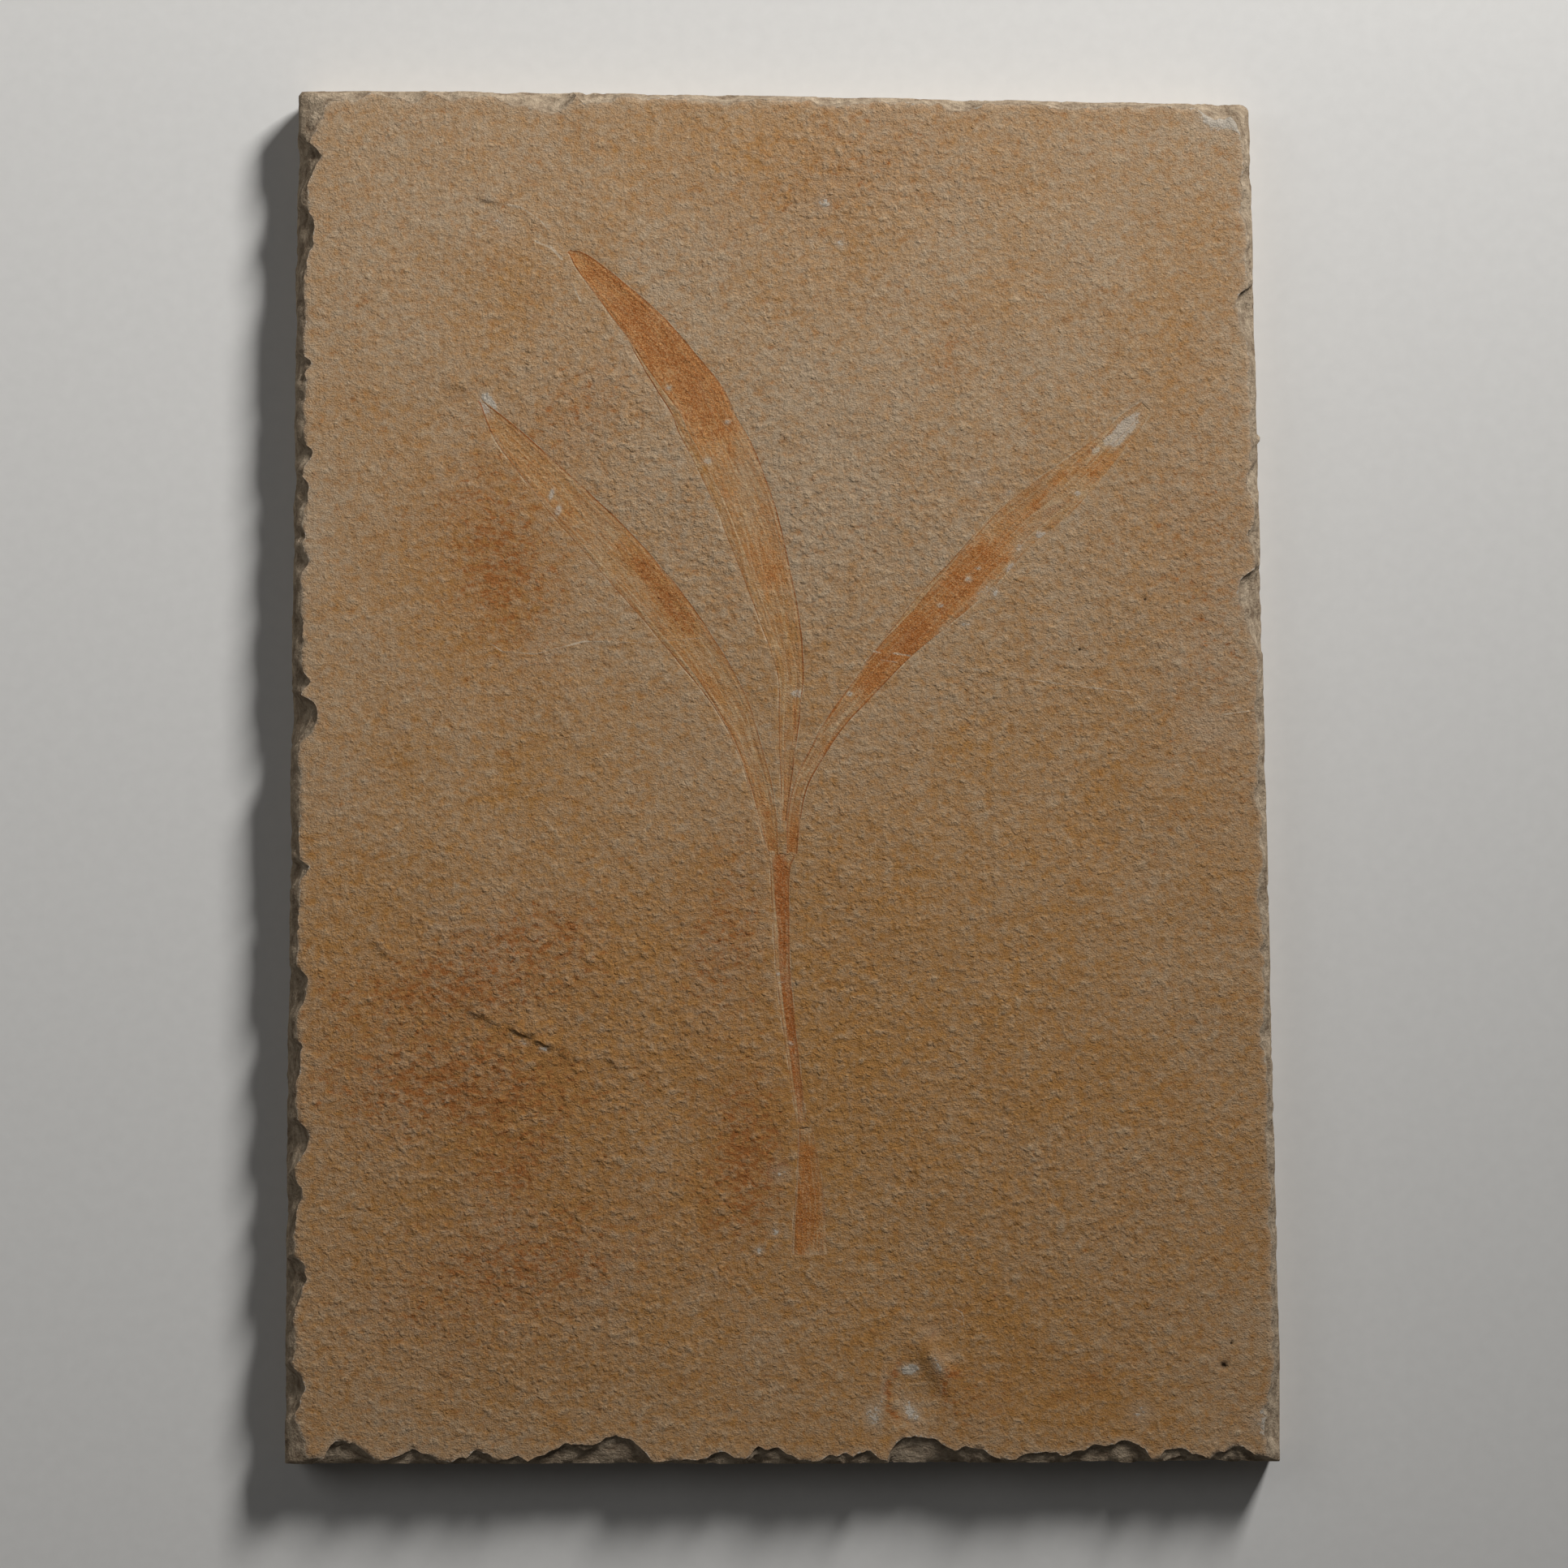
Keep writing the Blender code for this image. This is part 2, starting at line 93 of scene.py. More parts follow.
# Chips along the front edge: where each starts, is deepest and ends along the side, and its depth there.
CHIPS = {
    "left": (
        (140.4, 136.3, 126.9, 4.7), (125.1, 121.2, 107.9, 4.4), (93.2, 91.4, 85.4, 3.4),
        (85.4, 82.0, 77.7, 2.5), (73.7, 71.5, 67.1, 4.3), (67.1, 63.5, 55.2, 3.8), (55.2, 53.0, 50.6, 3.0),
        (50.6, 47.6, 43.1, 3.7), (36.9, 32.5, 25.4, 2.9), (26.3, 21.8, 17.9, 4.0), (18.6, 13.8, 6.2, 6.2),
        (-3.9, -15.0, -18.4, 2.4), (-18.1, -19.9, -25.2, 4.5), (-25.2, -32.0, -39.4, 2.7),
        (-41.2, -46.0, -53.6, 5.0), (-57.5, -59.5, -71.4, 3.9), (-74.9, -79.9, -87.3, 5.1),
        (-87.3, -92.1, -103.3, 3.9), (-105.4, -108.1, -122.3, 4.9), (-128.7, -134.7, -141.8, 4.8),
    ),
    "top": (
        (-100.5, -97.0, -91.2, 2.1), (-92.0, -84.0, -79.7, 2.8), (-79.7, -73.0, -66.4, 1.8),
        (-66.4, -52.2, -46.3, 4.6), (-46.3, -42.4, -35.7, 2.8), (-20.0, -12.0, -4.0, 1.7),
        (5.1, 10.0, 14.0, 2.4), (33.0, 39.2, 44.6, 3.1), (56.0, 63.0, 70.0, 1.7), (90.0, 97.0, 101.5, 2.6),
    ),
    "right": (
        (136.0, 128.0, 122.0, 2.3), (107.9, 103.5, 93.2, 4.0), (69.4, 65.0, 60.5, 2.5),
        (57.7, 52.0, 46.3, 2.5), (46.3, 40.5, 27.2, 4.8), (20.0, 14.0, 10.0, 2.2), (2.0, -3.9, -9.8, 2.6),
        (-22.0, -28.0, -36.0, 2.2), (-51.8, -56.3, -60.7, 2.7), (-74.0, -80.0, -92.0, 2.3),
        (-127.6, -138.8, -147.7, 3.2),
    ),
    "bottom": (
        (-104.6, -98.5, -90.2, 5.8), (-90.6, -83.0, -76.5, 3.0), (-74.5, -68.9, -64.0, 2.8),
        (-63.9, -60.0, -57.0, 2.0), (-58.5, -45.0, -36.0, 4.8), (-50.0, -39.5, -29.6, 6.1),
        (-20.0, -15.0, -8.2, 2.4), (-8.4, -4.5, 4.6, 3.9), (7.6, 12.4, 16.0, 2.6), (15.0, 18.0, 22.4, 2.8),
        (22.9, 29.0, 41.0, 6.3), (36.0, 42.0, 49.0, 3.2), (50.8, 58.0, 66.0, 2.4), (60.0, 75.3, 81.5, 4.6),
        (83.0, 88.0, 95.0, 2.9), (94.0, 101.0, 106.8, 3.0),
    ),
}
# How steeply a chip's first lip drops, and then how much its floor falls over its depth, on each side.
CHIP_LIP = 0.55
CHIP_FALL = {"bottom": 0.3, "right": 0.6, "top": 0.5, "left": 0.75}
# Smaller scars of the trimming hammer: spacing, least and greatest half length and drop below the face, and
# depth on each side.
SCAR_SPACING, SCAR_SEED = 4.2, 11
SCAR_HALF_LENGTHS, SCAR_DROPS = (2.2, 6.0), (2.5, 9.0)
SCAR_DEPTH = {"bottom": 0.9, "right": 0.6, "top": 0.6, "left": 0.9}

# The bedding face: broad swells, then lumps and grain from the relief tree.
BROAD_SWELL, BROAD_RISE = 55.0, 0.25
SMALL_SWELL, SMALL_RISE = 13.0, 0.16
LUMP_SIZE, LUMP_SEED, LUMP_RISE = 2.4, 3.0, 0.1
GRAIN_SIZE, GRAIN_SEED, GRAIN_RISE = 1.2, 8.0, 0.05
LUMP_SHARE, GRAIN_SHARE = 0.4, 0.3
RIM_REACH = 0.9
# Distances between the meshes' points, and the gaps that loose points keep to fixed ones.
OUTLINE_SPACING, MARGIN_SPACING = 0.7, 0.8
FACE_SPACING, FACE_JITTER, FACE_GAP = 1.0, 0.18, 0.5
BACK_SPACING, BACK_JITTER, BACK_GAP = 4.5, 0.2, 2.0
MARGIN_GAP = 0.3
LATTICE_SEED = 5
SHARP_ANGLE = 50

# The film's seat in the stone.
RECESS_DEPTH = 1.0
FILM_SINK = 0.04
FILM_THICKNESS = 0.4
FILM_TUCK = 0.4
TUCK_DROP = 0.15
MARGIN_WANDER, MARGIN_GRAIN = 0.15, 5.0
MARGIN_SLOPE, MARGIN_REACH = 0.03, 0.35
WELT_RISE, WELT_PLACE, WELT_REACH = 0.05, 0.45, 0.3
WELT_LINE = 0.35
WELT_GRAIN = 3.5
JOINTS = ((0.3, -16.6, 5.0), (4.6, -76.0, 3.0), (6.0, -105.0, 6.0))
FILM_CELL = 0.3
NARROWEST_BLADE = 1.0
RIB_RISE, RIB_PLACE, RIB_SPREAD = 0.05, 0.7, 0.2
TROUGH = 0.05
VEINS = {
    "Vein Spacing": 0.55, "Vein Length": 14.0, "Vein Height": 0.06, "Rib Spacing": 1.0, "Rib Height": 0.035,
}
VEIN_SEED = 2.0

# Each piece of the plant: x, y and breadth at stations along it, from its tip or upper end.
BLADES = {
    "left_leaf": (
        (-66.2, 82.6, 0.6), (-60.4, 75.0, 5.5), (-47.9, 61.4, 9.1), (-34.3, 46.9, 10.7), (-21.9, 32.0, 10.0),
        (-11.7, 17.1, 7.5), (-7.1, 6.1, 5.5), (-4.0, -5.0, 4.6), (-2.0, -16.6, 2.6),
    ),
    "middle_leaf": (
        (-46.7, 115.2, 0.6), (-42.9, 112.0, 4.4), (-31.0, 99.4, 8.9), (-26.5, 93.4, 10.7),
        (-18.9, 82.6, 12.6), (-16.2, 76.9, 12.9), (-11.1, 67.0, 13.0), (-5.9, 52.9, 11.8),
        (-0.6, 34.7, 8.7), (1.8, 22.5, 5.7), (1.3, 9.9, 4.2), (0.7, -3.4, 1.9), (0.3, -9.5, 0.8),
    ),
    "right_leaf": (
        (79.5, 81.2, 3.0), (76.2, 77.6, 5.2), (72.1, 73.3, 6.0), (67.7, 68.9, 7.8), (60.2, 62.1, 10.2),
        (50.1, 54.0, 10.8), (43.1, 46.3, 10.8), (34.1, 37.5, 9.6), (27.9, 31.4, 7.8), (22.3, 25.3, 6.6),
        (16.7, 18.5, 5.4), (12.2, 13.1, 4.5), (8.5, 7.3, 3.8), (4.4, -0.6, 3.3), (2.6, -8.0, 3.0),
        (2.0, -16.6, 2.6),
    ),
    "stem": (
        (-0.1, -16.6, 6.0), (-0.5, -20.6, 4.3), (-0.3, -31.6, 3.7), (0.2, -42.8, 3.2), (1.2, -52.0, 2.85),
        (2.7, -64.0, 2.5), (4.2, -75.3, 2.3),
    ),
    "stem_base": ((5.0, -76.6, 3.2), (5.6, -84.0, 4.6), (6.0, -93.0, 6.4), (6.0, -104.4, 7.8)),
}

# Soft oval patches on the stone: x, y, half length, half breadth, turn in degrees, strength.
STONE_RUST = (
    (-62.0, 47.5, 22.0, 14.0, 104, 0.74), (-44.2, 81.3, 15.1, 8.0, 35, 0.45),
    (13.5, 133.7, 24.8, 12.4, 20, 0.3), (-71.7, -45.6, 33.7, 9.0, 5, 0.65),
    (-71.7, -67.8, 35.5, 13.3, 0, 0.75), (-55.7, -34.1, 19.5, 8.0, 10, 0.55),
    (-12.2, -34.1, 19.5, 10.6, 80, 0.55), (-7.8, -82.8, 21.0, 9.8, 87, 0.78),
    (-57.5, -106.9, 33.7, 14.2, 15, 0.65), (92.5, 38.7, 46.1, 10.6, 92, 0.3),
    (36.0, 91.6, 7.5, 2.8, 65, 0.45), (42.8, -135.3, 9.8, 6.2, 30, 0.4), (65.9, -132.1, 7.1, 3.5, 20, 0.4),
    (-59.3, -85.6, 10.6, 7.1, 20, 0.65), (38.3, -117.5, 7.1, 2.5, 30, 0.4),
    (24.8, -129.5, 3.0, 0.9, 58, 1.0), (23.2, -133.4, 3.6, 1.0, 88, 1.0),
    (24.2, -139.0, 3.4, 1.0, -65, 0.9), (35.6, -133.0, 4.4, 0.8, -88, 1.0),
    (37.5, -130.2, 2.8, 1.6, 0, 0.85),
)
# Broad patches of ochre, which make the lower part of the plate more ochre, and zones of bolder lumps.
STONE_OCHRE = (
    (7.0, -72.0, 7.0, 24.0, 0, -0.6), (-22.0, 62.0, 12.0, 12.0, 0, -0.4), (22.0, 62.0, 26.0, 26.0, 0, -0.3),
    (0.0, -110.0, 170.0, 90.0, 0, 0.55), (-45.0, -62.0, 85.0, 48.0, 0, 0.9),
    (-57.5, 106.0, 14.0, 14.0, 0, 0.5), (84.5, 92.0, 12.0, 15.0, 0, 0.4), (91.6, -7.5, 12.0, 18.0, 0, 0.4),
    (60.0, -65.0, 75.0, 60.0, 0, 0.4), (55.0, -135.0, 35.0, 16.0, 0, 0.6), (-60.0, 5.0, 60.0, 30.0, 0, 0.3),
    (70.0, 30.0, 50.0, 45.0, 60, 0.3), (-64.0, 50.0, 28.0, 22.0, 90, 0.75),
    (8.0, 132.0, 40.0, 20.0, 0, 0.35),
)
STONE_COARSE = (
    (16.0, 130.0, 28.0, 18.0, 0, 0.5), (-28.0, 70.0, 42.0, 26.0, -48, 0.6), (22.0, 55.0, 36.0, 40.0, 0, 0.3),
    (-60.0, -60.0, 45.0, 36.0, 0, 1.0), (0.0, -40.0, 36.0, 45.0, 0, 0.5), (70.0, 20.0, 50.0, 60.0, 0, 0.3),
    (50.0, -85.0, 60.0, 50.0, 0, 0.6), (-60.0, -115.0, 50.0, 30.0, 0, 0.8),
)
STONE_PALE = (
    (49.5, 62.3, 2.2, 1.2, 30, 0.55), (46.7, 40.4, 1.3, 1.7, 30, 0.7), (40.0, 33.6, 1.9, 1.0, 0, 0.65),
    (-56.4, -58.0, 1.2, 0.5, -15, 0.9), (-51.9, -59.5, 1.4, 0.6, -15, 0.9),
    (-62.3, 121.9, 2.5, 1.6, 0, 0.5), (-59.8, 119.6, 2.1, 1.6, 0, 0.5), (-64.6, 126.4, 0.9, 0.7, 0, 0.6),
    (-61.6, 136.5, 1.4, 0.9, 0, 0.5), (-51.3, 137.4, 1.4, 0.9, 0, 0.5), (-33.5, 134.9, 1.1, 0.7, 0, 0.4),
    (9.2, 125.5, 2.1, 1.6, -45, 0.7), (12.6, 116.8, 1.4, 1.1, 0, 0.65), (67.3, 134.7, 1.1, 0.9, 0, 0.5),
    (79.2, 126.2, 1.1, 0.9, 0, 0.5), (-82.9, 11.2, 2.7, 1.4, 0, 0.5), (78.3, -138.8, 3.9, 3.2, 0, 0.5),
    (103.1, -140.6, 3.5, 2.7, 0, 0.4), (19.7, -139.7, 2.2, 3.8, 0, 0.6), (42.4, 65.0, 3.4, 3.0, 0, 0.5),
    (96.9, 143.6, 7.1, 2.8, 5, 0.7), (75.3, 77.7, 6.4, 2.1, 48, 1.0), (-64.1, 81.6, 3.5, 1.6, -60, 1.0),
    # The patch at (33.9, -128.5), along the fold's crest, is partly the stone's own pale colour and partly a
    # painted highlight on the fold's lit side.
    (27.9, -129.4, 2.6, 1.5, 5, 0.9), (28.0, -138.6, 4.2, 2.0, -55, 0.7), (33.9, -128.5, 3.2, 1.5, -65, 0.6),
    (36.9, -126.6, 2.8, 1.4, -20, 0.5), (32.5, -121.1, 4.0, 2.6, 0, 0.4), (22.0, -133.5, 8.0, 0.9, 85, 0.45),
    (-1.6, -99.4, 1.2, 1.1, 0, 0.8), (-5.0, -103.5, 1.2, 1.1, 0, 0.8), (-0.7, -86.4, 2.8, 2.5, 0, 0.5),
    (93.7, 10.3, 5.3, 8.0, 60, 0.4),
)
# The same for each piece of the plant: where the rust is dense, and where it is gone.
BLADE_RUST = {
    "left_leaf": (
        (-57.0, 69.5, 12.0, 4.4, -45, 0.38), (-46.5, 58.5, 7.5, 4.0, -45, 0.35),
        (-30.5, 46.0, 8.0, 3.0, -46, 0.95), (-23.5, 37.5, 8.0, 2.8, -55, 1.0),
        (-15.8, 21.8, 7.1, 2.1, -60, 0.5), (-27.0, 38.0, 12.0, 5.0, -50, 0.3),
        (-13.6, 13.3, 5.2, 0.6, -54, 0.9), (-8.6, 4.0, 4.8, 0.5, -62, 0.9),
        (-3.4, -8.4, 7.0, 1.4, -70, 0.6), (-2.2, -15.0, 5.0, 1.6, -75, 0.9),
    ),
    "middle_leaf": (
        (-38.9, 108.8, 13.3, 5.3, -47, 0.95), (-29.1, 97.3, 15.1, 7.1, -47, 0.9),
        (-20.2, 86.6, 14.2, 8.0, -50, 0.85), (-14.9, 77.7, 8.0, 7.1, -55, 0.6),
        (-2.5, 45.8, 8.0, 3.9, -75, 0.6), (-6.0, 60.0, 10.6, 4.4, -65, 0.15),
        (2.7, 13.0, 5.0, 0.4, 90, 0.9), (0.8, -4.0, 6.0, 0.9, 90, 0.7),
    ),
    "right_leaf": (
        (20.4, 23.0, 7.4, 3.3, 48, 0.9), (28.4, 30.6, 8.0, 3.6, 45, 0.95), (33.0, 34.0, 11.0, 4.6, 45, 0.6),
        (40.5, 44.6, 7.0, 4.4, 48, 0.95), (46.0, 47.5, 8.0, 4.6, 42, 0.6), (58.0, 62.5, 14.0, 1.0, 45, 0.5),
        (70.3, 68.9, 6.2, 2.1, 42, 0.45), (10.2, 13.9, 4.8, 0.7, 53, 0.95), (4.9, 5.3, 5.6, 0.6, 64, 0.95),
        (17.3, 14.8, 3.8, 0.6, 45, 0.9), (11.2, 8.0, 5.4, 0.6, 50, 0.9), (2.2, -14.0, 6.0, 1.3, 80, 0.85),
    ),
    "stem": (
        (-0.1, -28.0, 15.0, 1.8, 91, 1.0), (1.2, -50.9, 8.0, 1.8, 97, 0.95), (2.7, -64.3, 9.9, 1.2, 97, 0.8),
    ),
    "stem_base": (
        (5.3, -82.9, 3.5, 1.4, 97, 0.95), (3.9, -97.5, 7.5, 1.7, 92, 0.95), (5.5, -90.0, 6.3, 1.8, 92, 0.8),
        (7.2, -95.0, 8.0, 2.6, 88, 0.55),
    ),
}
# Strength of the fine lines along the left and right margins, and breadth of the bare strip inside the left
# one, each at shares of a piece's length from its tip.
MARGIN_LINES = {
    "left_leaf": (
        ((0.0, 0.8), (0.18, 0.7), (0.3, 0.35), (0.55, 0.5), (0.7, 1.0), (1.0, 0.9)),
        ((0.0, 0.4), (0.05, 1.0), (0.24, 1.0), (0.4, 0.6), (0.55, 0.9), (0.62, 0.4), (1.0, 0.35)),
        ((0.0, 0.0), (0.2, 0.3), (0.35, 1.3), (0.6, 1.3), (0.7, 0.35), (1.0, 0.3)),
    ),
    "middle_leaf": (
        ((0.0, 0.9), (0.3, 0.9), (0.4, 0.45), (0.7, 0.4), (1.0, 0.5)),
        ((0.0, 1.0), (0.3, 0.9), (0.36, 0.3), (0.45, 1.0), (0.8, 0.9), (1.0, 0.5)),
        ((0.0, 0.0), (0.16, 0.2), (0.24, 0.9), (0.33, 2.0), (0.5, 2.4), (0.75, 2.0), (0.9, 0.8), (1.0, 0.3)),
    ),
    "right_leaf": (
        ((0.0, 0.0), (0.12, 0.3), (0.3, 0.6), (0.5, 0.35), (0.6, 1.0), (0.9, 1.0), (1.0, 0.6)),
        ((0.0, 0.0), (0.5, 0.1), (0.65, 0.8), (0.9, 0.9), (1.0, 0.6)),
        ((0.0, 0.0), (0.4, 0.5), (0.52, 1.3), (0.6, 0.3), (1.0, 0.2)),
    ),
    "stem": (
        ((0.0, 0.4), (1.0, 0.3)), ((0.0, 0.6), (0.5, 0.5), (1.0, 0.4)), ((0.0, 0.5), (0.3, 0.9), (1.0, 0.5)),
    ),
    "stem_base": (((0.0, 0.8), (1.0, 0.6)), ((0.0, 0.2), (1.0, 0.2)), ((0.0, 0.3), (1.0, 0.4))),
}

BLADE_PALE = {
    "left_leaf": (
        (-49.0, 58.4, 1.6, 0.8, 60, 0.9), (-50.4, 62.1, 1.8, 0.7, 70, 0.8), (-54.7, 52.2, 1.6, 1.0, 0, 0.8),
        (-40.0, 54.5, 6.0, 3.5, -45, 0.3), (-65.2, 81.0, 2.6, 1.4, -60, 0.9),
    ),
    "middle_leaf": (
        (-11.9, 77.7, 1.2, 0.8, 0, 0.9), (-24.9, 85.2, 1.0, 0.7, 0, 0.8), (-16.3, 69.2, 1.4, 0.9, 0, 0.8),
        (-8.0, 68.0, 6.0, 4.0, -60, 0.3), (3.5, 18.4, 2.2, 1.0, 0, 0.9),
    ),
    "right_leaf": (
        (40.5, 43.3, 1.1, 0.9, 0, 1.0), (12.6, 12.8, 5.0, 1.1, 52, 0.4), (34.6, 37.6, 0.9, 0.7, 0, 0.9),
        (42.8, 45.8, 0.8, 0.6, 0, 0.9), (14.7, 18.3, 0.8, 0.6, 0, 0.9), (49.9, 45.8, 1.6, 1.0, 45, 0.9),
        (46.5, 40.6, 1.2, 0.9, 0, 0.9), (40.3, 34.4, 1.2, 0.8, 0, 0.9), (56.6, 53.1, 1.5, 1.0, 0, 0.9),
        (68.5, 71.5, 1.2, 0.8, 45, 0.9), (64.6, 62.1, 1.0, 0.7, 0, 0.8), (52.0, 50.4, 3.2, 1.6, 50, 0.55),
        (44.0, 40.6, 4.2, 1.6, 44, 0.5), (36.0, 33.0, 4.0, 1.2, 44, 0.45), (58.6, 58.4, 6.0, 1.6, 45, 0.4),
        (75.0, 76.5, 5.0, 2.0, 46, 1.0), (72.0, 73.5, 2.0, 1.2, 0, 0.9),
    ),
    "stem": (
        (1.8, -58.1, 0.9, 0.7, 0, 0.8), (-1.0, -43.0, 1.0, 0.6, 0, 0.7), (-0.2, -44.8, 1.4, 0.3, 10, 0.7),
    ),
    "stem_base": (
        (3.2, -79.6, 0.5, 2.6, 0, 0.6), (9.4, -90.0, 0.6, 8.0, -3, 0.4), (7.0, -105.2, 4.0, 1.6, 0, 0.7),
    ),
}

# Hairline seams on the face that stand proud of it: rise, half width, then their route.
SEAM_RIDGES = (
    (0.1, 0.35, (-64.6, 29.8), (-61.1, 27.5), (-54.0, 27.0), (-43.3, 29.8), (-30.9, 29.5), (-17.6, 30.5)),
    (0.14, 0.4, (18.1, 28.2), (21.5, 27.2)),
    (0.14, 0.4, (21.5, 25.7), (25.0, 25.2)),
    (0.14, 0.4, (24.3, 27.2), (27.9, 26.6)),
    (0.08, 0.35, (34.6, 25.4), (44.7, 23.1), (50.9, 22.0), (61.2, 20.4), (76.5, 18.6)),
    (0.12, 0.35, (96.6, 13.8), (103.1, 14.7)),
    (0.2, 0.6, (-60.2, 125.3), (-57.0, 124.6), (-52.9, 121.8), (-50.5, 119.0)),
    (0.22, 0.6, (-54.0, 117.3), (-50.6, 115.9), (-48.3, 113.4)),
    (0.2, 0.45, (-46.0, 107.9), (-44.2, 104.3)),
    (0.06, 0.4, (37.5, -116.1), (39.4, -117.1), (39.8, -120.2), (37.8, -119.6)),
)
# Small ledges, where a thin leaf of stone has come away: rise, how far it fades, then the foot of the ledge
# with the raised side on its left.
LEDGES = (
    (0.25, 5.0, (-67.3, 126.6), (-64.6, 125.7), (-61.6, 125.3)),
    (0.15, 3.0, (-75.3, 85.7), (-69.0, 84.8)),
    (0.25, 5.0, (-70.3, -50.2), (-66.4, -52.2), (-61.4, -55.0)),
    (0.45, 4.0, (-60.6, -55.0), (-58.6, -55.4), (-57.3, -56.3), (-54.3, -57.3)),
    (0.45, 3.5, (-54.9, -57.9), (-53.2, -57.8), (-51.9, -58.8), (-49.6, -58.9)),
    (0.14, 4.0, (-49.5, -60.0), (-45.0, -62.5)),
    (0.16, 4.0, (-38.4, -60.8), (-37.0, -62.6), (-36.2, -64.4)),
    (0.16, 3.0, (-90.6, -35.0), (-88.2, -38.0), (-85.9, -40.3)),
)
# Small round pits: x, y, radius, depth.
PITS = (
    (96.6, -128.5, 0.75, 0.8), (98.2, -123.7, 0.35, 0.3), (79.3, 38.9, 0.35, 0.3), (65.0, 28.0, 0.35, 0.3),
)
ROW_SPACING = 0.6
SEAM_GRAIN = 2.5

# The small oval imprint near the bottom edge: a dished hollow under a hooked fold of stone.
IMPRINT = (28.8, -134.6, 8.2, 6.0, 72, 0.8)
FOLD = (33.6, -127.8, 6.2, 2.4, -60, 0.75)

# How the ripples of the face lie: turn in degrees, and how many times longer than broad they are.
RIPPLE_TURN, RIPPLE_DRAW = -32, 1.6
# How deep the finishes' finest relief is.
FACE_BUMP, EDGE_BUMP, BACK_BUMP = 0.14, 0.8, 0.3

CAMERA_LENS = 100.0
SENSOR = 36.0
FRAME_WIDTH = 342.9
AIM = (0.36, -1.42)
# Lamps, in metres and watts: name, place, the place it is turned to, size, power. The raking one at the upper
# right is turned past the plate, so that its light falls off down the plate and not across it.
LAMPS = (
    ("raking_light", (0.487, 0.731, 0.53), (-0.42, 0.52, 0.53), 0.3, 16.64),
    ("left_fill", (-0.75, 0.35, 0.75), (0.0, 0.0, 0.0), 0.6, 1.2),
)
WORLD_FILL = 0.03


def linear(hex_colour):
    """Linear RGBA of an sRGB hex colour."""
    channels = [int(hex_colour[i : i + 2], 16) / 255 for i in (1, 3, 5)]
    return (*(c / 12.92 if c <= 0.04045 else ((c + 0.055) / 1.055) ** 2.4 for c in channels), 1.0)


def add(tree, kind, inputs=None, **settings):
    """Add a node with its settings. Each input is a value, or the output that feeds it."""
    made = tree.nodes.new(kind)
    for name, value in settings.items():
        setattr(made, name, value)
    for key, value in (inputs or {}).items():
        if isinstance(value, bpy.types.NodeSocket):
            tree.links.new(value, made.inputs[key])
        else:
            made.inputs[key].default_value = value
    return made


# Shapes


def noise_at(x, y, grain, level):
    """Smooth noise with a grain, at places on one level of it."""
    return np.array([noise.noise((a / grain, b / grain, level)) for a, b in zip(x, y)])


def bedding(x, y):
    """Height of the bedding face's broad swells at places on the plate."""
    broad, small = noise_at(x, y, BROAD_SWELL, 0.5), noise_at(x, y, SMALL_SWELL, 3.5)
    return THICKNESS + BROAD_RISE * broad + SMALL_RISE * small


def patches(x, y, table):
    """Strength at each place of a table of soft oval patches."""
    bare = np.ones_like(x)
    for middle_x, middle_y, long, broad, turn, strength in table:
        cos, sin = math.cos(math.radians(turn)), math.sin(math.radians(turn))
        along = ((x - middle_x) * cos + (y - middle_y) * sin) / long
        across = ((y - middle_y) * cos - (x - middle_x) * sin) / broad
        bare *= 1 - strength * np.exp(-(along**2) - across**2)
    return 1 - bare


def reach_along(points):
    """Lengths of the steps from point to point, and how far along the whole each point is."""
    lengths = np.linalg.norm(np.diff(points, axis=0), axis=1)
    return lengths, np.concatenate([[0.0], np.cumsum(lengths)])


def along_blade(stations, shares):
    """Middles, directions and breadths at shares of a piece's length, on a curve through its stations."""
    points = np.array(stations)
    lengths, reach = reach_along(points[:, :2])
    target = shares * reach[-1]
    span = np.clip(np.searchsorted(reach, target) - 1, 0, len(lengths) - 1)
    t = ((target - reach[span]) / lengths[span])[:, None]
    padded = np.vstack([2 * points[0] - points[1], points, 2 * points[-1] - points[-2]])
    before, start, end, after = (padded[span + step] for step in range(4))
    first = end - before
    second = 2 * before - 5 * start + 4 * end - after
    third = 3 * start - before - 3 * end + after
    curve = start + 0.5 * t * (first + t * (second + t * third))
    slope = (first + 2 * t * second + 3 * t * t * third)[:, :2]
    ahead = slope / np.linalg.norm(slope, axis=1)[:, None]
    return curve[:, :2], ahead, np.maximum(curve[:, 2], NARROWEST_BLADE), reach[-1]


def margin_wander(places):
    """How far a margin strays outwards at places on it."""
    return MARGIN_WANDER * noise_at(*places.T, MARGIN_GRAIN, 2.5)


def welt_share(x, y):
    """How strongly the stone is raised beside a margin at places near it: broken, and gone here and there."""
    share = np.clip(0.5 + 2.0 * noise_at(x, y, WELT_GRAIN, 9.5), 0, None)
    for joint_x, joint_y, reach in JOINTS:
        share *= 1 - np.exp(-(((x - joint_x) ** 2 + (y - joint_y) ** 2) / reach**2))
    return share


def seam_share(x, y):
    """1 on the hairline seams, falling to 0 beside them, at places on the face."""
    most = np.zeros(len(x))
    for rise, width, *route in SEAM_RIDGES:
        off, _ = off_route(x, y, route)
        most = np.maximum(most, (0.8 + rise) * np.clip(1 - np.abs(off) / (1.2 * width), 0, 1))
    return most


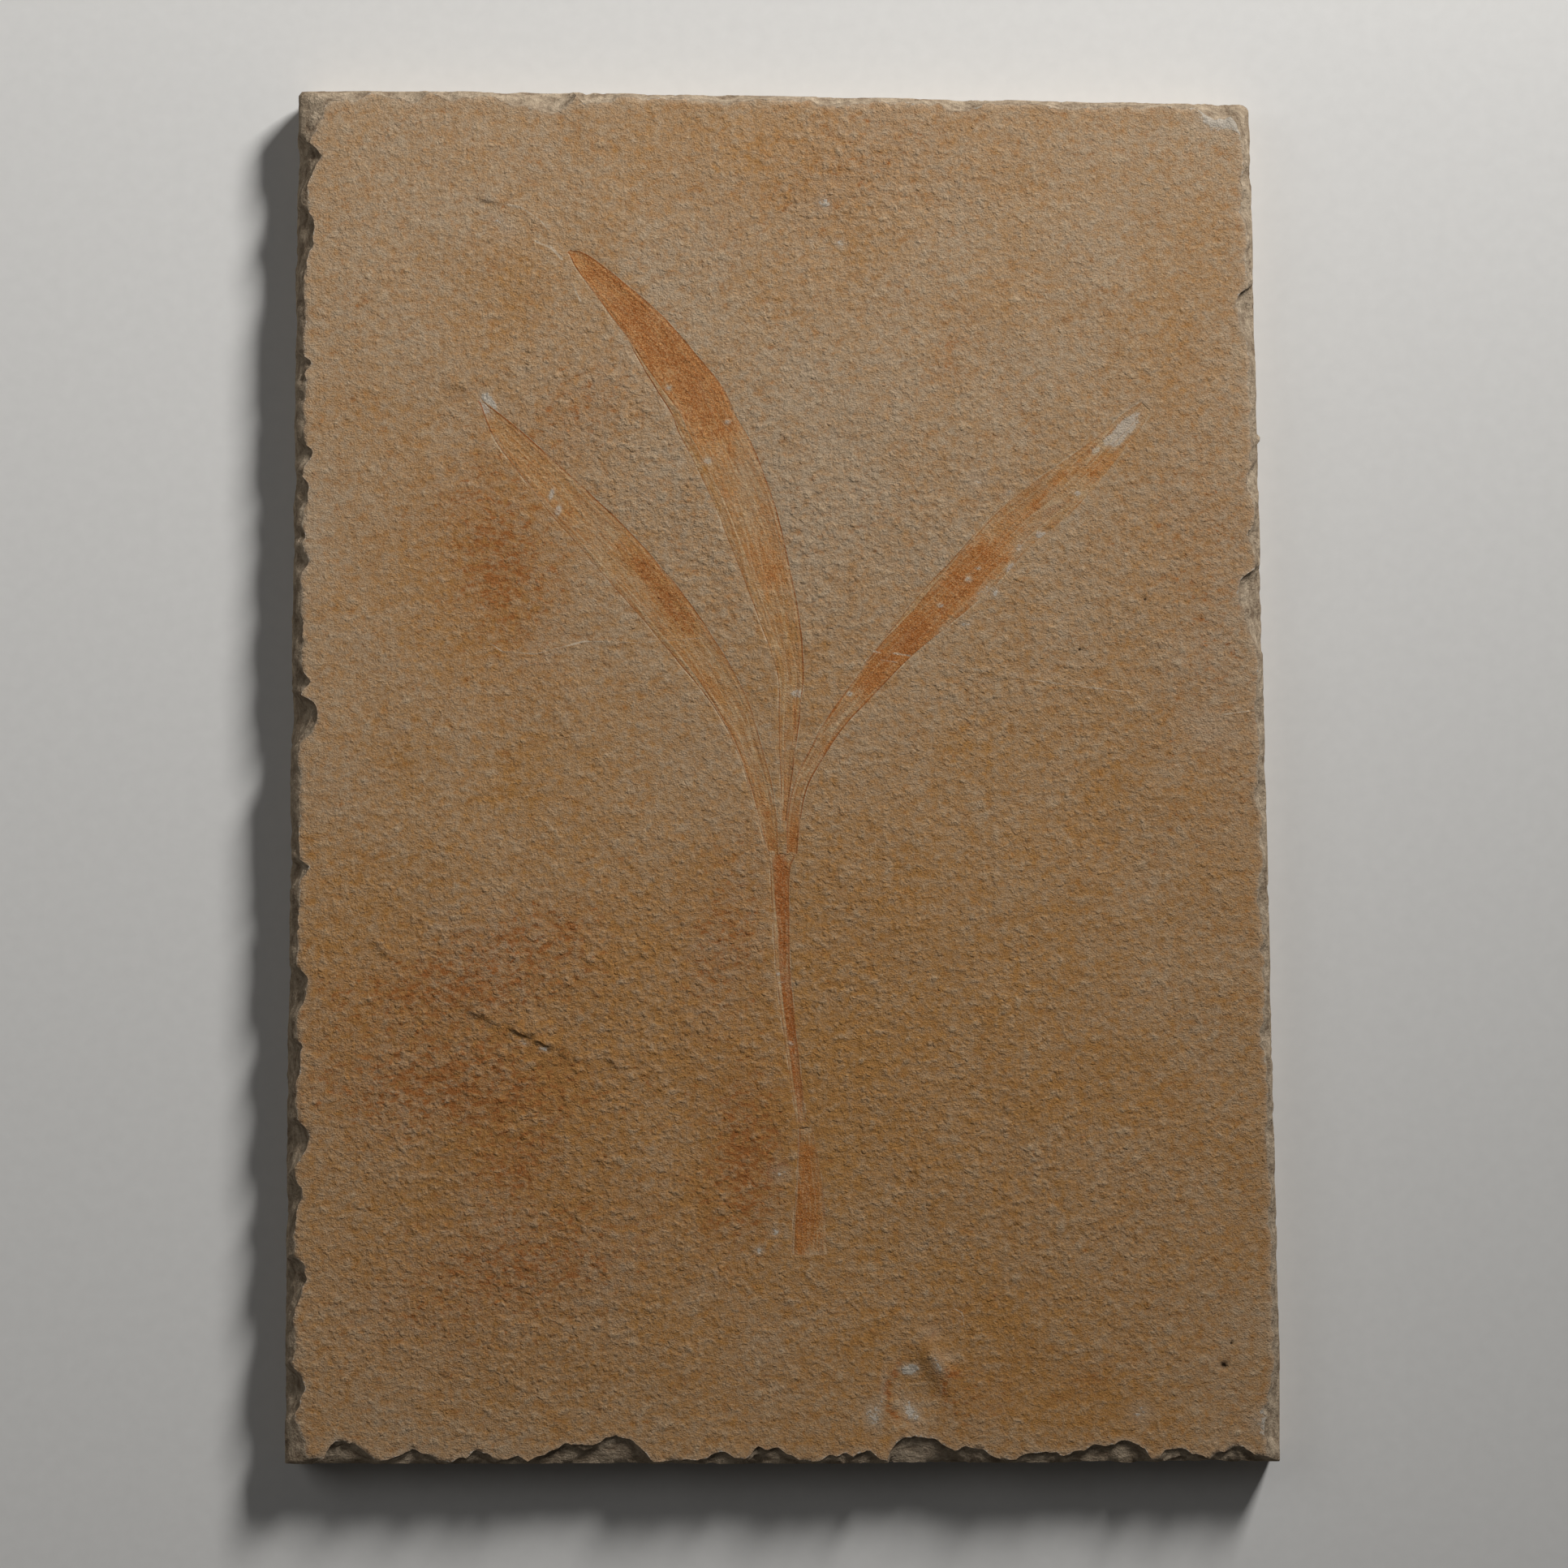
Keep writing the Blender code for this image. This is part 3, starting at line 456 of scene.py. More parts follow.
def blade_outline(stations, spacing, margin=0.0):
    """Closed outline of a piece of the plant, widened by a margin."""
    length = along_blade(stations, np.zeros(1))[3]
    ends = margin / length
    shares = np.linspace(-ends, 1 + ends, int(length / spacing))
    middle, ahead, breadth, _ = along_blade(stations, shares)
    reach = np.column_stack([ahead[:, 1], -ahead[:, 0]]) * (breadth / 2 + margin)[:, None]
    outline = np.vstack([middle + reach, (middle - reach)[::-1]])
    outward = np.vstack([reach, -reach[::-1]])
    outward /= np.linalg.norm(outward, axis=1)[:, None]
    return outline + outward * margin_wander(outline)[:, None]


def inside(points, outline):
    """Which points lie inside a closed outline."""
    within = np.zeros(len(points), bool)
    x, y = points.T
    for (ax, ay), (bx, by) in zip(outline, np.roll(outline, -1, axis=0)):
        if ay == by:
            continue
        crosses = ((ay > y) != (by > y)) & (x < ax + (y - ay) * (bx - ax) / (by - ay))
        within ^= crosses
    return within


def outside(points, outlines):
    """The points that lie outside each of several closed outlines."""
    for outline in outlines:
        points = points[~inside(points, outline)]
    return points


def off_route(x, y, route):
    """Distance from a route, positive on its left, and how far along it each place is, from 0 to 1."""
    route = np.array(route)
    nearest = np.full(len(x), 1e6)
    side = np.ones(len(x))
    share = np.zeros(len(x))
    lengths, reach = reach_along(route)
    for index, (start, step) in enumerate(zip(route, np.diff(route, axis=0))):
        from_x, from_y = x - start[0], y - start[1]
        t = np.clip((from_x * step[0] + from_y * step[1]) / lengths[index] ** 2, 0, 1)
        distance = np.hypot(from_x - t * step[0], from_y - t * step[1])
        closer = distance < nearest
        nearest[closer] = distance[closer]
        side[closer] = np.sign(step[0] * from_y - step[1] * from_x)[closer]
        share[closer] = ((reach[index] + t * lengths[index]) / reach[-1])[closer]
    return nearest * side, share


def face_relief(x, y):
    """Height of the bedding face with its seams, ledges and the oval imprint."""
    height = bedding(x, y)
    broken = 0.7 + 0.6 * noise_at(x, y, SEAM_GRAIN, 6.5)
    for rise, width, *route in SEAM_RIDGES:
        off, share = off_route(x, y, route)
        taper = np.sin(np.pi * np.clip(share, 0.04, 0.96)) ** 0.5
        height += rise * broken * np.exp(-((off / width) ** 2)) * taper
    for rise, fade, *route in LEDGES:
        off, share = off_route(x, y, route)
        taper = np.sin(np.pi * share) ** 0.7
        height += np.where(off > 0.1, rise * taper * np.exp(-((off / fade) ** 2)), 0.0)
    for pit_x, pit_y, radius, depth in PITS:
        height -= depth * np.clip(1.4 - np.hypot(x - pit_x, y - pit_y) / radius, 0, 1)
    height -= IMPRINT[5] * np.clip(1.3 * patches(x, y, ((*IMPRINT[:5], 1.0),)) - 0.35, 0, None)
    height += FOLD[5] * patches(x, y, ((*FOLD[:5], 1.0),))
    return height


def resampled(route, spacing, aside):
    """Points along a route at a spacing, moved aside to its left."""
    route = np.array(route)
    _, reach = reach_along(route)
    targets = np.linspace(0, reach[-1], max(2, int(reach[-1] / spacing)))
    points = np.column_stack([np.interp(targets, reach, route[:, axis]) for axis in (0, 1)])
    ahead = np.gradient(points, axis=0)
    ahead /= np.linalg.norm(ahead, axis=1)[:, None]
    return points + aside * np.column_stack([-ahead[:, 1], ahead[:, 0]])


def outline_columns():
    """Columns of the broken edge: place on the widest outline, outward direction, and share of each side."""
    places, outward, shares = [], [], []
    steps = np.roll(CORNERS, -1, axis=0) - CORNERS
    lengths = np.linalg.norm(steps, axis=1)
    facing = np.column_stack([steps[:, 1], -steps[:, 0]]) / lengths[:, None]
    for index in range(len(SIDES)):
        following = (index + 1) % len(SIDES)
        start_round, end_round = CORNER_ROUNDING[index], CORNER_ROUNDING[following]
        run_length = lengths[index] - start_round - end_round
        for distance in np.linspace(0, run_length, int(run_length / COLUMN_SPACING)):
            places.append(CORNERS[index] + steps[index] * (start_round + distance) / lengths[index])
            outward.append(facing[index])
            shares.append(np.eye(4)[index])
        middle = CORNERS[following] - end_round * (facing[index] + facing[following])
        for turn in np.linspace(0, math.pi / 2, 5)[1:-1]:
            direction = math.cos(turn) * facing[index] + math.sin(turn) * facing[following]
            places.append(middle + end_round * direction)
            outward.append(direction)
            shares.append(math.cos(turn) ** 2 * np.eye(4)[index] + math.sin(turn) ** 2 * np.eye(4)[following])
    return np.array(places), np.array(outward), np.array(shares)


def drawn_in(places, height):
    """Places on the widest outline drawn in, corner by corner, to the plate's size at a height."""
    inset = {side: np.interp(height, EDGE_HEIGHTS, EDGE_INSETS[side]) for side in SIDES}
    left, right, top, bottom = (inset[side] for side in ("left", "right", "top", "bottom"))
    smaller = CORNERS + np.array([(left, bottom), (-right, bottom), (-right, -top), (left, -top)])
    u = v = np.full(len(places), 0.5)
    x, y = places.T
    (x0, y0), (x1, y1), (x2, y2), (x3, y3) = CORNERS
    for _ in range(4):
        v = (y - y0 - u * (y1 - y0)) / (y3 - y0 + u * (y2 - y3 - y1 + y0))
        u = (x - x0 - v * (x3 - x0)) / (x1 - x0 + v * (x2 - x1 - x3 + x0))
    weights = np.array([(1 - u) * (1 - v), u * (1 - v), u * v, (1 - u) * v])
    drawn = weights.T @ smaller
    open_share = np.clip((height - CORNER_FOOT) / (THICKNESS - CORNER_FOOT), 0, 1)
    for corner, (wear_x, wear_y, reach) in zip(CORNERS, CORNER_WEAR):
        window = np.exp(-((np.linalg.norm(places - corner, axis=1) / reach) ** 2))
        drawn += open_share * window[:, None] * np.array([wear_x, wear_y])
    return drawn


def hammer_scars():
    """Scars of the trimming hammer: side, place along it, half length, depth, middle's drop, half height."""
    chance = np.random.default_rng(SCAR_SEED)
    scars = []
    for index, side in enumerate(SIDES):
        reach = np.abs(CORNERS[:, index % 2]).max()
        for middle in np.arange(-reach, reach, SCAR_SPACING):
            drop = chance.uniform(*SCAR_DROPS)
            scars.append((
                index, middle + chance.uniform(-2, 2), chance.uniform(*SCAR_HALF_LENGTHS),
                SCAR_DEPTH[side] * chance.uniform(0.3, 1.0), drop, drop * chance.uniform(0.4, 0.8),
            ))
    return scars


def side_inset(shares, drop):
    """How far the unchipped edge stands inside the widest outline, at a drop below the face."""
    return shares @ np.array([np.interp(THICKNESS - drop, EDGE_HEIGHTS, EDGE_INSETS[side]) for side in SIDES])


def chip_window(along, start, peak, end):
    """A chip's depth along its side, as a share of the most: steep at its short end, eased at the other."""
    before = (along - peak) * (start - peak) > 0
    t = np.clip((along - peak) / np.where(before, start - peak, end - peak), 0, 1)
    steep = before == (abs(start - peak) <= abs(end - peak))
    return np.where(steep, np.sqrt(1 - t * t), 0.5 * np.sqrt(1 - t * t) + 0.5 * (1 - t))


def edge_wear(places, shares, scars, drop):
    """How far chips, scars and wander take each column of the broken edge in, at a drop below the face."""
    x, y = places.T
    wander = noise_at(x, y, EDGE_GRAIN, drop / 5)
    fine = noise_at(x, y, FINE_GRAIN, drop * 0.8 + 9) + 0.5 * noise_at(x, y, 1.0, drop + 3)
    layer = noise_at(x, y, LAYER_GRAIN, 1.7 * drop + 4)
    natural = side_inset(shares, drop)
    wear = np.clip(EDGE_WANDER * wander + LAYER_DEPTH * min(drop, 1) * layer + FINE_DEPTH * fine, 0, None)
    crumble = RIM_CRUMBLE * (0.4 + noise_at(x, y, CRUMBLE_GRAIN, 7.7)) * max(0, 1 - drop / 1.5)
    wear += crumble
    for index, middle, half_length, depth, middle_drop, half_height in scars:
        along = places[:, index % 2]
        hollow = (1 - ((along - middle) / half_length) ** 2) * (1 - ((drop - middle_drop) / half_height) ** 2)
        within = (np.abs(along - middle) < half_length) & (abs(drop - middle_drop) < half_height)
        wear = np.maximum(wear, np.where(within & (shares[:, index] > 0.9), depth * hollow, 0))
    for index, side in enumerate(SIDES):
        along = places[:, index % 2]
        for start, peak, end, depth in CHIPS[side]:
            window = chip_window(along, start, peak, end) * (shares[:, index] > 0.9)
            lip = CHIP_LIP * (1 + layer)
            fall = np.clip((drop - lip) / (CHIP_FALL[side] * depth), 0, 1)
            chip = depth * window * (1 - fall) - natural + (0.7 * fine + crumble) * np.sqrt(window)
            wear = np.maximum(wear, chip)
    to_corner = np.min([np.linalg.norm(places - corner, axis=1) for corner in CORNERS], axis=0)
    return wear * np.clip(to_corner / CORNER_CALM, 0.25, 1)


def hex_lattice(spacing, jitter):
    """Jittered triangular lattice of points over the whole plate."""
    chance = np.random.default_rng(LATTICE_SEED)
    low, high = CORNERS.min(axis=0), CORNERS.max(axis=0)
    rows = []
    for index, y in enumerate(np.arange(low[1], high[1], spacing * math.sqrt(3) / 2)):
        across = np.arange(low[0] + index % 2 * spacing / 2, high[0], spacing)
        rows.append(np.column_stack([across, np.full(len(across), y)]))
    points = np.vstack(rows)
    return points + chance.uniform(-jitter, jitter, points.shape) * spacing


def distance_to(fixed, points):
    """How far each point lies from the nearest of the fixed ones."""
    tree = kdtree.KDTree(len(fixed))
    for index, place in enumerate(fixed):
        tree.insert((*place, 0), index)
    tree.balance()
    return np.array([tree.find((*place, 0))[2] for place in points])


def clear_of(points, fixed, gap):
    """The points that keep a gap to the fixed ones."""
    return points[distance_to(fixed, points) > gap]


def triangulated(rim, loops, loose):
    """Triangles within a rim, along closed loops and through loose points. The rim's points come first."""
    points, edges = [tuple(point) for point in rim], []
    edges += [(i, (i + 1) % len(rim)) for i in range(len(rim))]
    for loop in loops:
        first = len(points)
        points += [tuple(point) for point in loop]
        edges += [(first + i, first + (i + 1) % len(loop)) for i in range(len(loop))]
    points += [tuple(point) for point in loose]
    made, _, faces, origins, _, _ = delaunay_2d_cdt(points, edges, [], 1, 1e-4, True)
    order = {source: index for index, sources in enumerate(origins) for source in sources}
    rim_places = np.array([order[index] for index in range(len(rim))])
    made, faces = np.array([tuple(point) for point in made]), np.array(faces)
    return made, faces[inside(made[faces].mean(axis=1), made[rim_places])], rim_places


def new_mesh(name, points, faces, fields):
    """Object of a mesh, from points in millimetres, with a number at each point for each field."""
    mesh = bpy.data.meshes.new(name)
    mesh.from_pydata((np.array(points) * MM).tolist(), [], faces)
    for field, values in fields.items():
        attribute = mesh.attributes.new(field, "FLOAT", "POINT")
        attribute.data.foreach_set("value", np.asarray(values, np.float32))
    made = bpy.data.objects.new(name, mesh)
    bpy.context.scene.collection.objects.link(made)
    return made


def face_rows(outlines):
    """Extra points on the face: rows beside the plant, along seams and ledges, and rings round the pits."""
    beside = np.vstack([
        blade_outline(stations, MARGIN_SPACING, aside) for stations in BLADES.values() for aside in (0.4, 0.9)
    ])
    rows = [clear_of(outside(beside, outlines), np.vstack(outlines), MARGIN_GAP)]
    for _, width, *route in SEAM_RIDGES:
        rows += [resampled(route, ROW_SPACING, aside) for aside in (-1.2 * width, 0, 1.2 * width)]
    for _, _, *route in LEDGES:
        rows += [resampled(route, ROW_SPACING, aside) for aside in (0.0, 0.3)]
    turns = np.linspace(0, math.tau, 9)[:-1]
    for x, y, radius, _ in PITS:
        for reach in (0.4 * radius, 1.4 * radius):
            rows.append(np.column_stack([x + reach * np.cos(turns), y + reach * np.sin(turns)]))
    return np.vstack(rows)


def seated_face(flat, triangles, outlines):
    """Points and faces of the bedding face, with the seat of the plant let into it on upright walls."""
    near = distance_to(np.vstack(outlines), flat)
    welt = WELT_RISE * np.exp(-(((near - WELT_PLACE) / WELT_REACH) ** 2))
    welt -= MARGIN_SLOPE * np.exp(-((near / MARGIN_REACH) ** 2))
    heights = face_relief(*flat.T) + welt * welt_share(*flat.T)
    seated = np.zeros(len(triangles), bool)
    for outline in outlines:
        seated |= inside(flat[triangles].mean(axis=1), outline)
    seat_points = np.unique(triangles[seated])
    lowered = {old: len(flat) + new for new, old in enumerate(seat_points)}
    floor_heights = heights[seat_points] - RECESS_DEPTH
    points = [np.column_stack([flat, heights]), np.column_stack([flat[seat_points], floor_heights])]
    faces, let_in = triangles[~seated].tolist(), triangles[seated].tolist()
    face_edges = {(t[i], t[(i + 1) % 3]) for t in faces for i in range(3)}
    faces += [[lowered[corner] for corner in triangle] for triangle in let_in]
    for triangle in let_in:
        for a, b in zip(triangle, triangle[1:] + triangle[:1]):
            if (b, a) in face_edges:
                faces.append([a, b, lowered[b], lowered[a]])
    return np.vstack(points), faces


def broken_edge(columns, scars, rim, rim_heights, wear, count):
    """Rings of points down the broken edge, the faces between them, and the last ring's numbers."""
    places, outward, shares = columns
    points, faces = [], []
    inset = wear + side_inset(shares, 0.0)
    for drop in RING_DROPS:
        natural = side_inset(shares, drop)
        wear = edge_wear(places, shares, scars, drop)
        if drop < THICKNESS - EDGE_HEIGHTS[2]:
            wear = np.minimum(wear, inset - natural)
        inset = wear + natural
        reach = -np.clip(wear, 0, None)
        if NUB[3][0] < drop < NUB[3][1]:
            reach += NUB[2] * np.clip(1 - np.abs(places[:, 1] - NUB[0]) / NUB[1], 0, 1) * (shares[:, 1] > 0.9)
        ring = drawn_in(places, THICKNESS - drop) + outward * reach[:, None]
        points.append(np.column_stack([ring, rim_heights * (1 - drop / THICKNESS)]))
        below = count + np.arange(len(places))
        count += len(places)
        faces += np.column_stack([rim, below, np.roll(below, -1), np.roll(rim, -1)]).tolist()
        rim = below
    return np.vstack(points), faces, rim


def stone_fields(points, edge_start, back_points, front, outlines):
    """What the finishes read at each point of the plate."""
    x, y = points[:, 0], points[:, 1]
    near = distance_to(np.vstack(outlines), points[:, :2])
    on_edge, on_back = np.zeros((2, len(points)))
    on_edge[edge_start:] = 1.0
    on_back[back_points] = 1.0
    return {
        "edge": on_edge,
        "back": on_back,
        "rust": patches(x, y, STONE_RUST),
        "ochre": patches(x, y, STONE_OCHRE),
        "pale": patches(x, y, STONE_PALE),
        "coarse": (0.3 + 0.7 * patches(x, y, STONE_COARSE)) * (0.3 + 0.7 * np.clip(near / 1.2, 0, 1)),
        "rim": np.exp(-distance_to(front, points[:, :2]) / RIM_REACH),
        "welt": np.exp(-((near / WELT_LINE) ** 2)) * np.clip(welt_share(x, y), 0, 1),
        "seam": seam_share(x, y),
        # Painted shade: a share that darkens the face's colour in and round the small pits.
        "pit_shade": sum(np.clip(1.5 - np.hypot(x - a, y - b) / r, 0, 1) for a, b, r, _ in PITS),
    }


def make_stone(tree, materials):
    """The plate: bedding face with the plant's seat let into it, broken edge, and split back."""
    columns = places, outward, shares = outline_columns()
    scars = hammer_scars()
    wear = edge_wear(places, shares, scars, 0.0)
    front = drawn_in(places, THICKNESS) - outward * wear[:, None]
    outlines = [blade_outline(stations, OUTLINE_SPACING) for stations in BLADES.values()]
    rows = face_rows(outlines)
    lattice = hex_lattice(FACE_SPACING, FACE_JITTER)
    lattice = outside(lattice[inside(lattice, front)], outlines)
    lattice = clear_of(lattice, np.vstack([front, rows, *outlines]), FACE_GAP)
    flat, triangles, rim = triangulated(front, outlines, np.vstack([rows, lattice]))
    face_points, faces = seated_face(flat, triangles, outlines)
    edge_start = len(face_points)
    rim_heights = face_points[rim, 2]
    edge_points, edge_faces, back_rim = broken_edge(columns, scars, rim, rim_heights, wear, edge_start)

    around = edge_points[-len(places):, :2]
    lattice = hex_lattice(BACK_SPACING, BACK_JITTER)
    lattice = clear_of(lattice[inside(lattice, around)], around, BACK_GAP)
    back, back_triangles, around_places = triangulated(around, [], lattice)
    back_start = edge_start + len(edge_points)
    numbers = back_start + np.arange(len(back))
    numbers[around_places] = back_rim
    faces += edge_faces + numbers[back_triangles][:, ::-1].tolist()
    points = np.vstack([face_points, edge_points, np.column_stack([back, np.zeros(len(back))])])

    back_points = np.concatenate([back_rim, np.arange(back_start, len(points))])
    fields = stone_fields(points, edge_start, back_points, front, outlines)
    stone = new_mesh("limestone_plate", points, faces, fields)
    used = bmesh.new()
    used.from_mesh(stone.data)
    bmesh.ops.delete(used, geom=[vert for vert in used.verts if not vert.link_faces], context="VERTS")
    used.to_mesh(stone.data)
    used.free()
    finish_with_tree(stone, tree, {
        "Lump Size": LUMP_SIZE * MM,
        "Lump Rise": LUMP_RISE * MM,
        "Lump Seed": LUMP_SEED,
        "Grain Size": GRAIN_SIZE * MM,
        "Grain Rise": GRAIN_RISE * MM,
        "Grain Seed": GRAIN_SEED,
        **materials,
    })
    keep_in_box(stone)
    shade_smoothly(stone)
    return stone


def keep_in_box(piece):
    """Hold a piece's points inside the solids' box."""
    low, high = (np.array(corner) for corner in cad_box)
    places = np.empty(len(piece.data.vertices) * 3, np.float32)
    piece.data.vertices.foreach_get("co", places)
    places = np.clip(places.reshape(-1, 3), low, high)
    piece.data.vertices.foreach_set("co", places.ravel())
    piece.data.update()


def keep_result(piece):
    """Keep what a piece's modifiers make of it as a plain mesh."""
    graph = bpy.context.evaluated_depsgraph_get()
    mesh = bpy.data.meshes.new_from_object(
        piece.evaluated_get(graph), preserve_all_data_layers=True, depsgraph=graph
    )
    piece.modifiers.clear()
    piece.data = mesh


def finish_with_tree(piece, tree, values):
    """Run a node tree on a piece with its named inputs."""
    modifier = piece.modifiers.new(tree.name, "NODES")
    modifier.node_group = tree
    for item in tree.interface.items_tree:
        if item.item_type == "SOCKET" and item.in_out == "INPUT" and item.name in values:
            modifier[item.identifier] = values[item.name]
    keep_result(piece)


def shade_smoothly(piece):
    """Smooth shading, with sharp edges where faces meet at a clear angle."""
    piece.data.shade_smooth()
    piece.data.set_sharp_from_angle(angle=math.radians(SHARP_ANGLE))


def start_tree(name, inputs):
    """Geometry tree with named inputs, each a socket of the kind given."""
    tree = bpy.data.node_groups.new(name, "GeometryNodeTree")
    tree.interface.new_socket("Geometry", in_out="OUTPUT", socket_type="NodeSocketGeometry")
    tree.interface.new_socket("Geometry", in_out="INPUT", socket_type="NodeSocketGeometry")
    for input_name, kind in inputs.items():
        tree.interface.new_socket(input_name, in_out="INPUT", socket_type=kind)
    return tree, add(tree, "NodeGroupInput").outputs, add(tree, "NodeGroupOutput")


def scattered_grains(tree, place, size, seed, share):
    """Rounded grains on a share of irregular cells: 0 between them, 1 on top, for shape and finish alike."""
    scale = add(tree, "ShaderNodeMath", {0: 1.0, 1: size}, operation="DIVIDE").outputs[0]
    spread = add(tree, "ShaderNodeTexNoise", {"Vector": place, "Scale": scale, "Detail": 2.0}).outputs[1]
    spread = add(tree, "ShaderNodeVectorMath", {0: spread, "Scale": size}, operation="SCALE").outputs[0]
    bent = add(tree, "ShaderNodeVectorMath", {0: place, 1: spread}, operation="ADD").outputs[0]
    shift = add(tree, "ShaderNodeCombineXYZ", {0: seed, 1: seed}).outputs[0]
    bent = add(tree, "ShaderNodeVectorMath", {0: bent, 1: shift}, operation="ADD").outputs[0]
    cell = add(
        tree, "ShaderNodeTexVoronoi", {"Vector": bent, "Scale": scale}, voronoi_dimensions="2D"
    ).outputs
    dome = add(
        tree, "ShaderNodeMapRange", {"Value": cell["Distance"], "From Min": 0.62, "From Max": 0.18},
        interpolation_type="SMOOTHSTEP",
    ).outputs[0]
    chance = add(tree, "ShaderNodeSeparateXYZ", {0: cell["Color"]}).outputs[0]
    rise = add(
        tree, "ShaderNodeMapRange", {"Value": chance, "From Min": 1 - share, "From Max": 1.0, "To Min": 0.3},
    ).outputs[0]
    kept = add(tree, "ShaderNodeMath", {0: chance, 1: 1 - share}, operation="GREATER_THAN").outputs[0]
    rise = add(tree, "ShaderNodeMath", {0: rise, 1: kept}, operation="MULTIPLY").outputs[0]
    return add(tree, "ShaderNodeMath", {0: dome, 1: rise}, operation="MULTIPLY").outputs[0]


def stone_relief_tree():
    """Raises scaly lumps and grain on the bedding face, and gives face, broken edge and back their finish."""
    inputs = {
        f"{kind} {size}": "NodeSocketFloat" for kind in ("Lump", "Grain") for size in ("Size", "Rise", "Seed")
    }
    inputs |= {name: "NodeSocketMaterial" for name in ("Face", "Broken Edge", "Back")}
    tree, given, result = start_tree("stone_relief", inputs)
    place = add(tree, "GeometryNodeInputPosition").outputs[0]
    edge, back, coarse = (
        add(tree, "GeometryNodeInputNamedAttribute", {"Name": name}).outputs[0]
        for name in ("edge", "back", "coarse")
    )
    rise = 0.0
    for kind, share in (("Lump", LUMP_SHARE), ("Grain", GRAIN_SHARE)):
        lump = scattered_grains(tree, place, given[kind + " Size"], given[kind + " Seed"], share)
        rise = add(
            tree, "ShaderNodeMath", {0: lump, 1: given[kind + " Rise"], 2: rise}, operation="MULTIPLY_ADD"
        ).outputs[0]
    rise = add(tree, "ShaderNodeMath", {0: rise, 1: coarse}, operation="MULTIPLY").outputs[0]
    on_face = add(tree, "ShaderNodeMath", {0: 1.0, 1: edge}, operation="SUBTRACT").outputs[0]
    rise = add(tree, "ShaderNodeMath", {0: rise, 1: on_face}, operation="MULTIPLY").outputs[0]
    offset = add(tree, "ShaderNodeCombineXYZ", {2: rise}).outputs[0]
    moved = add(tree, "GeometryNodeSetPosition", {"Geometry": given["Geometry"], "Offset": offset}).outputs[0]
    real = add(tree, "GeometryNodeRealizeInstances", {"Geometry": moved}).outputs[0]
    made = add(tree, "GeometryNodeSetMaterial", {"Geometry": real, "Material": given["Face"]}).outputs[0]
    for field, least, finish in ((edge, 0.01, "Broken Edge"), (back, 0.99, "Back")):
        chosen = add(
            tree, "FunctionNodeCompare", {0: field, 1: least}, data_type="FLOAT", operation="GREATER_THAN"
        ).outputs[0]
        made = add(
            tree, "GeometryNodeSetMaterial",
            {"Geometry": made, "Selection": chosen, "Material": given[finish]},
        ).outputs[0]
    tree.links.new(made, result.inputs[0])
    return tree


def blade_relief_tree():
    """Fine veins along a blade, from the place across and along it."""
    sizes = ("Vein Spacing", "Vein Length", "Vein Height", "Rib Spacing", "Rib Height", "Seed")
    inputs = {name: "NodeSocketFloat" for name in sizes}
    inputs["Film"] = "NodeSocketMaterial"
    tree, given, result = start_tree("blade_relief", inputs)
    across, along, side, inward = (
        add(tree, "GeometryNodeInputNamedAttribute", {"Name": name}).outputs[0]
        for name in ("across", "along", "side", "inward")
    )
    spaced = add(tree, "ShaderNodeMath", {0: across, 1: given["Vein Spacing"]}, operation="DIVIDE").outputs[0]
    drawn = add(tree, "ShaderNodeMath", {0: along, 1: given["Vein Length"]}, operation="DIVIDE").outputs[0]
    place = add(tree, "ShaderNodeCombineXYZ", {0: spaced, 1: drawn}).outputs[0]
    vein = add(
        tree, "ShaderNodeTexNoise", {"Vector": place, "W": given["Seed"], "Scale": 1.0, "Detail": 2.0},
        noise_dimensions="4D",
    ).outputs[0]
    vein = add(tree, "ShaderNodeMath", {0: vein, 1: 0.5}, operation="SUBTRACT").outputs[0]
    rise = add(tree, "ShaderNodeMath", {0: vein, 1: given["Vein Height"]}, operation="MULTIPLY").outputs[0]
    margin = add(tree, "ShaderNodeMath", {0: side}, operation="ABSOLUTE").outputs[0]
    margin = add(tree, "ShaderNodeMapRange", {"Value": margin, "From Min": 0.3, "From Max": 0.7}).outputs[0]
    turn = add(tree, "ShaderNodeMath", {0: inward, 1: given["Rib Spacing"]}, operation="DIVIDE").outputs[0]
    turn = add(tree, "ShaderNodeMath", {0: turn, 1: math.tau}, operation="MULTIPLY").outputs[0]
    rib = add(tree, "ShaderNodeMath", {0: turn}, operation="COSINE").outputs[0]
    rib = add(tree, "ShaderNodeMath", {0: rib, 1: margin}, operation="MULTIPLY").outputs[0]
    rise = add(
        tree, "ShaderNodeMath", {0: rib, 1: given["Rib Height"], 2: rise}, operation="MULTIPLY_ADD"
    ).outputs[0]
    offset = add(tree, "ShaderNodeCombineXYZ", {2: rise}).outputs[0]
    moved = add(tree, "GeometryNodeSetPosition", {"Geometry": given["Geometry"], "Offset": offset}).outputs[0]
    real = add(tree, "GeometryNodeRealizeInstances", {"Geometry": moved}).outputs[0]
    filmed = add(tree, "GeometryNodeSetMaterial", {"Geometry": real, "Material": given["Film"]}).outputs[0]
    tree.links.new(filmed, result.inputs[0])
    return tree


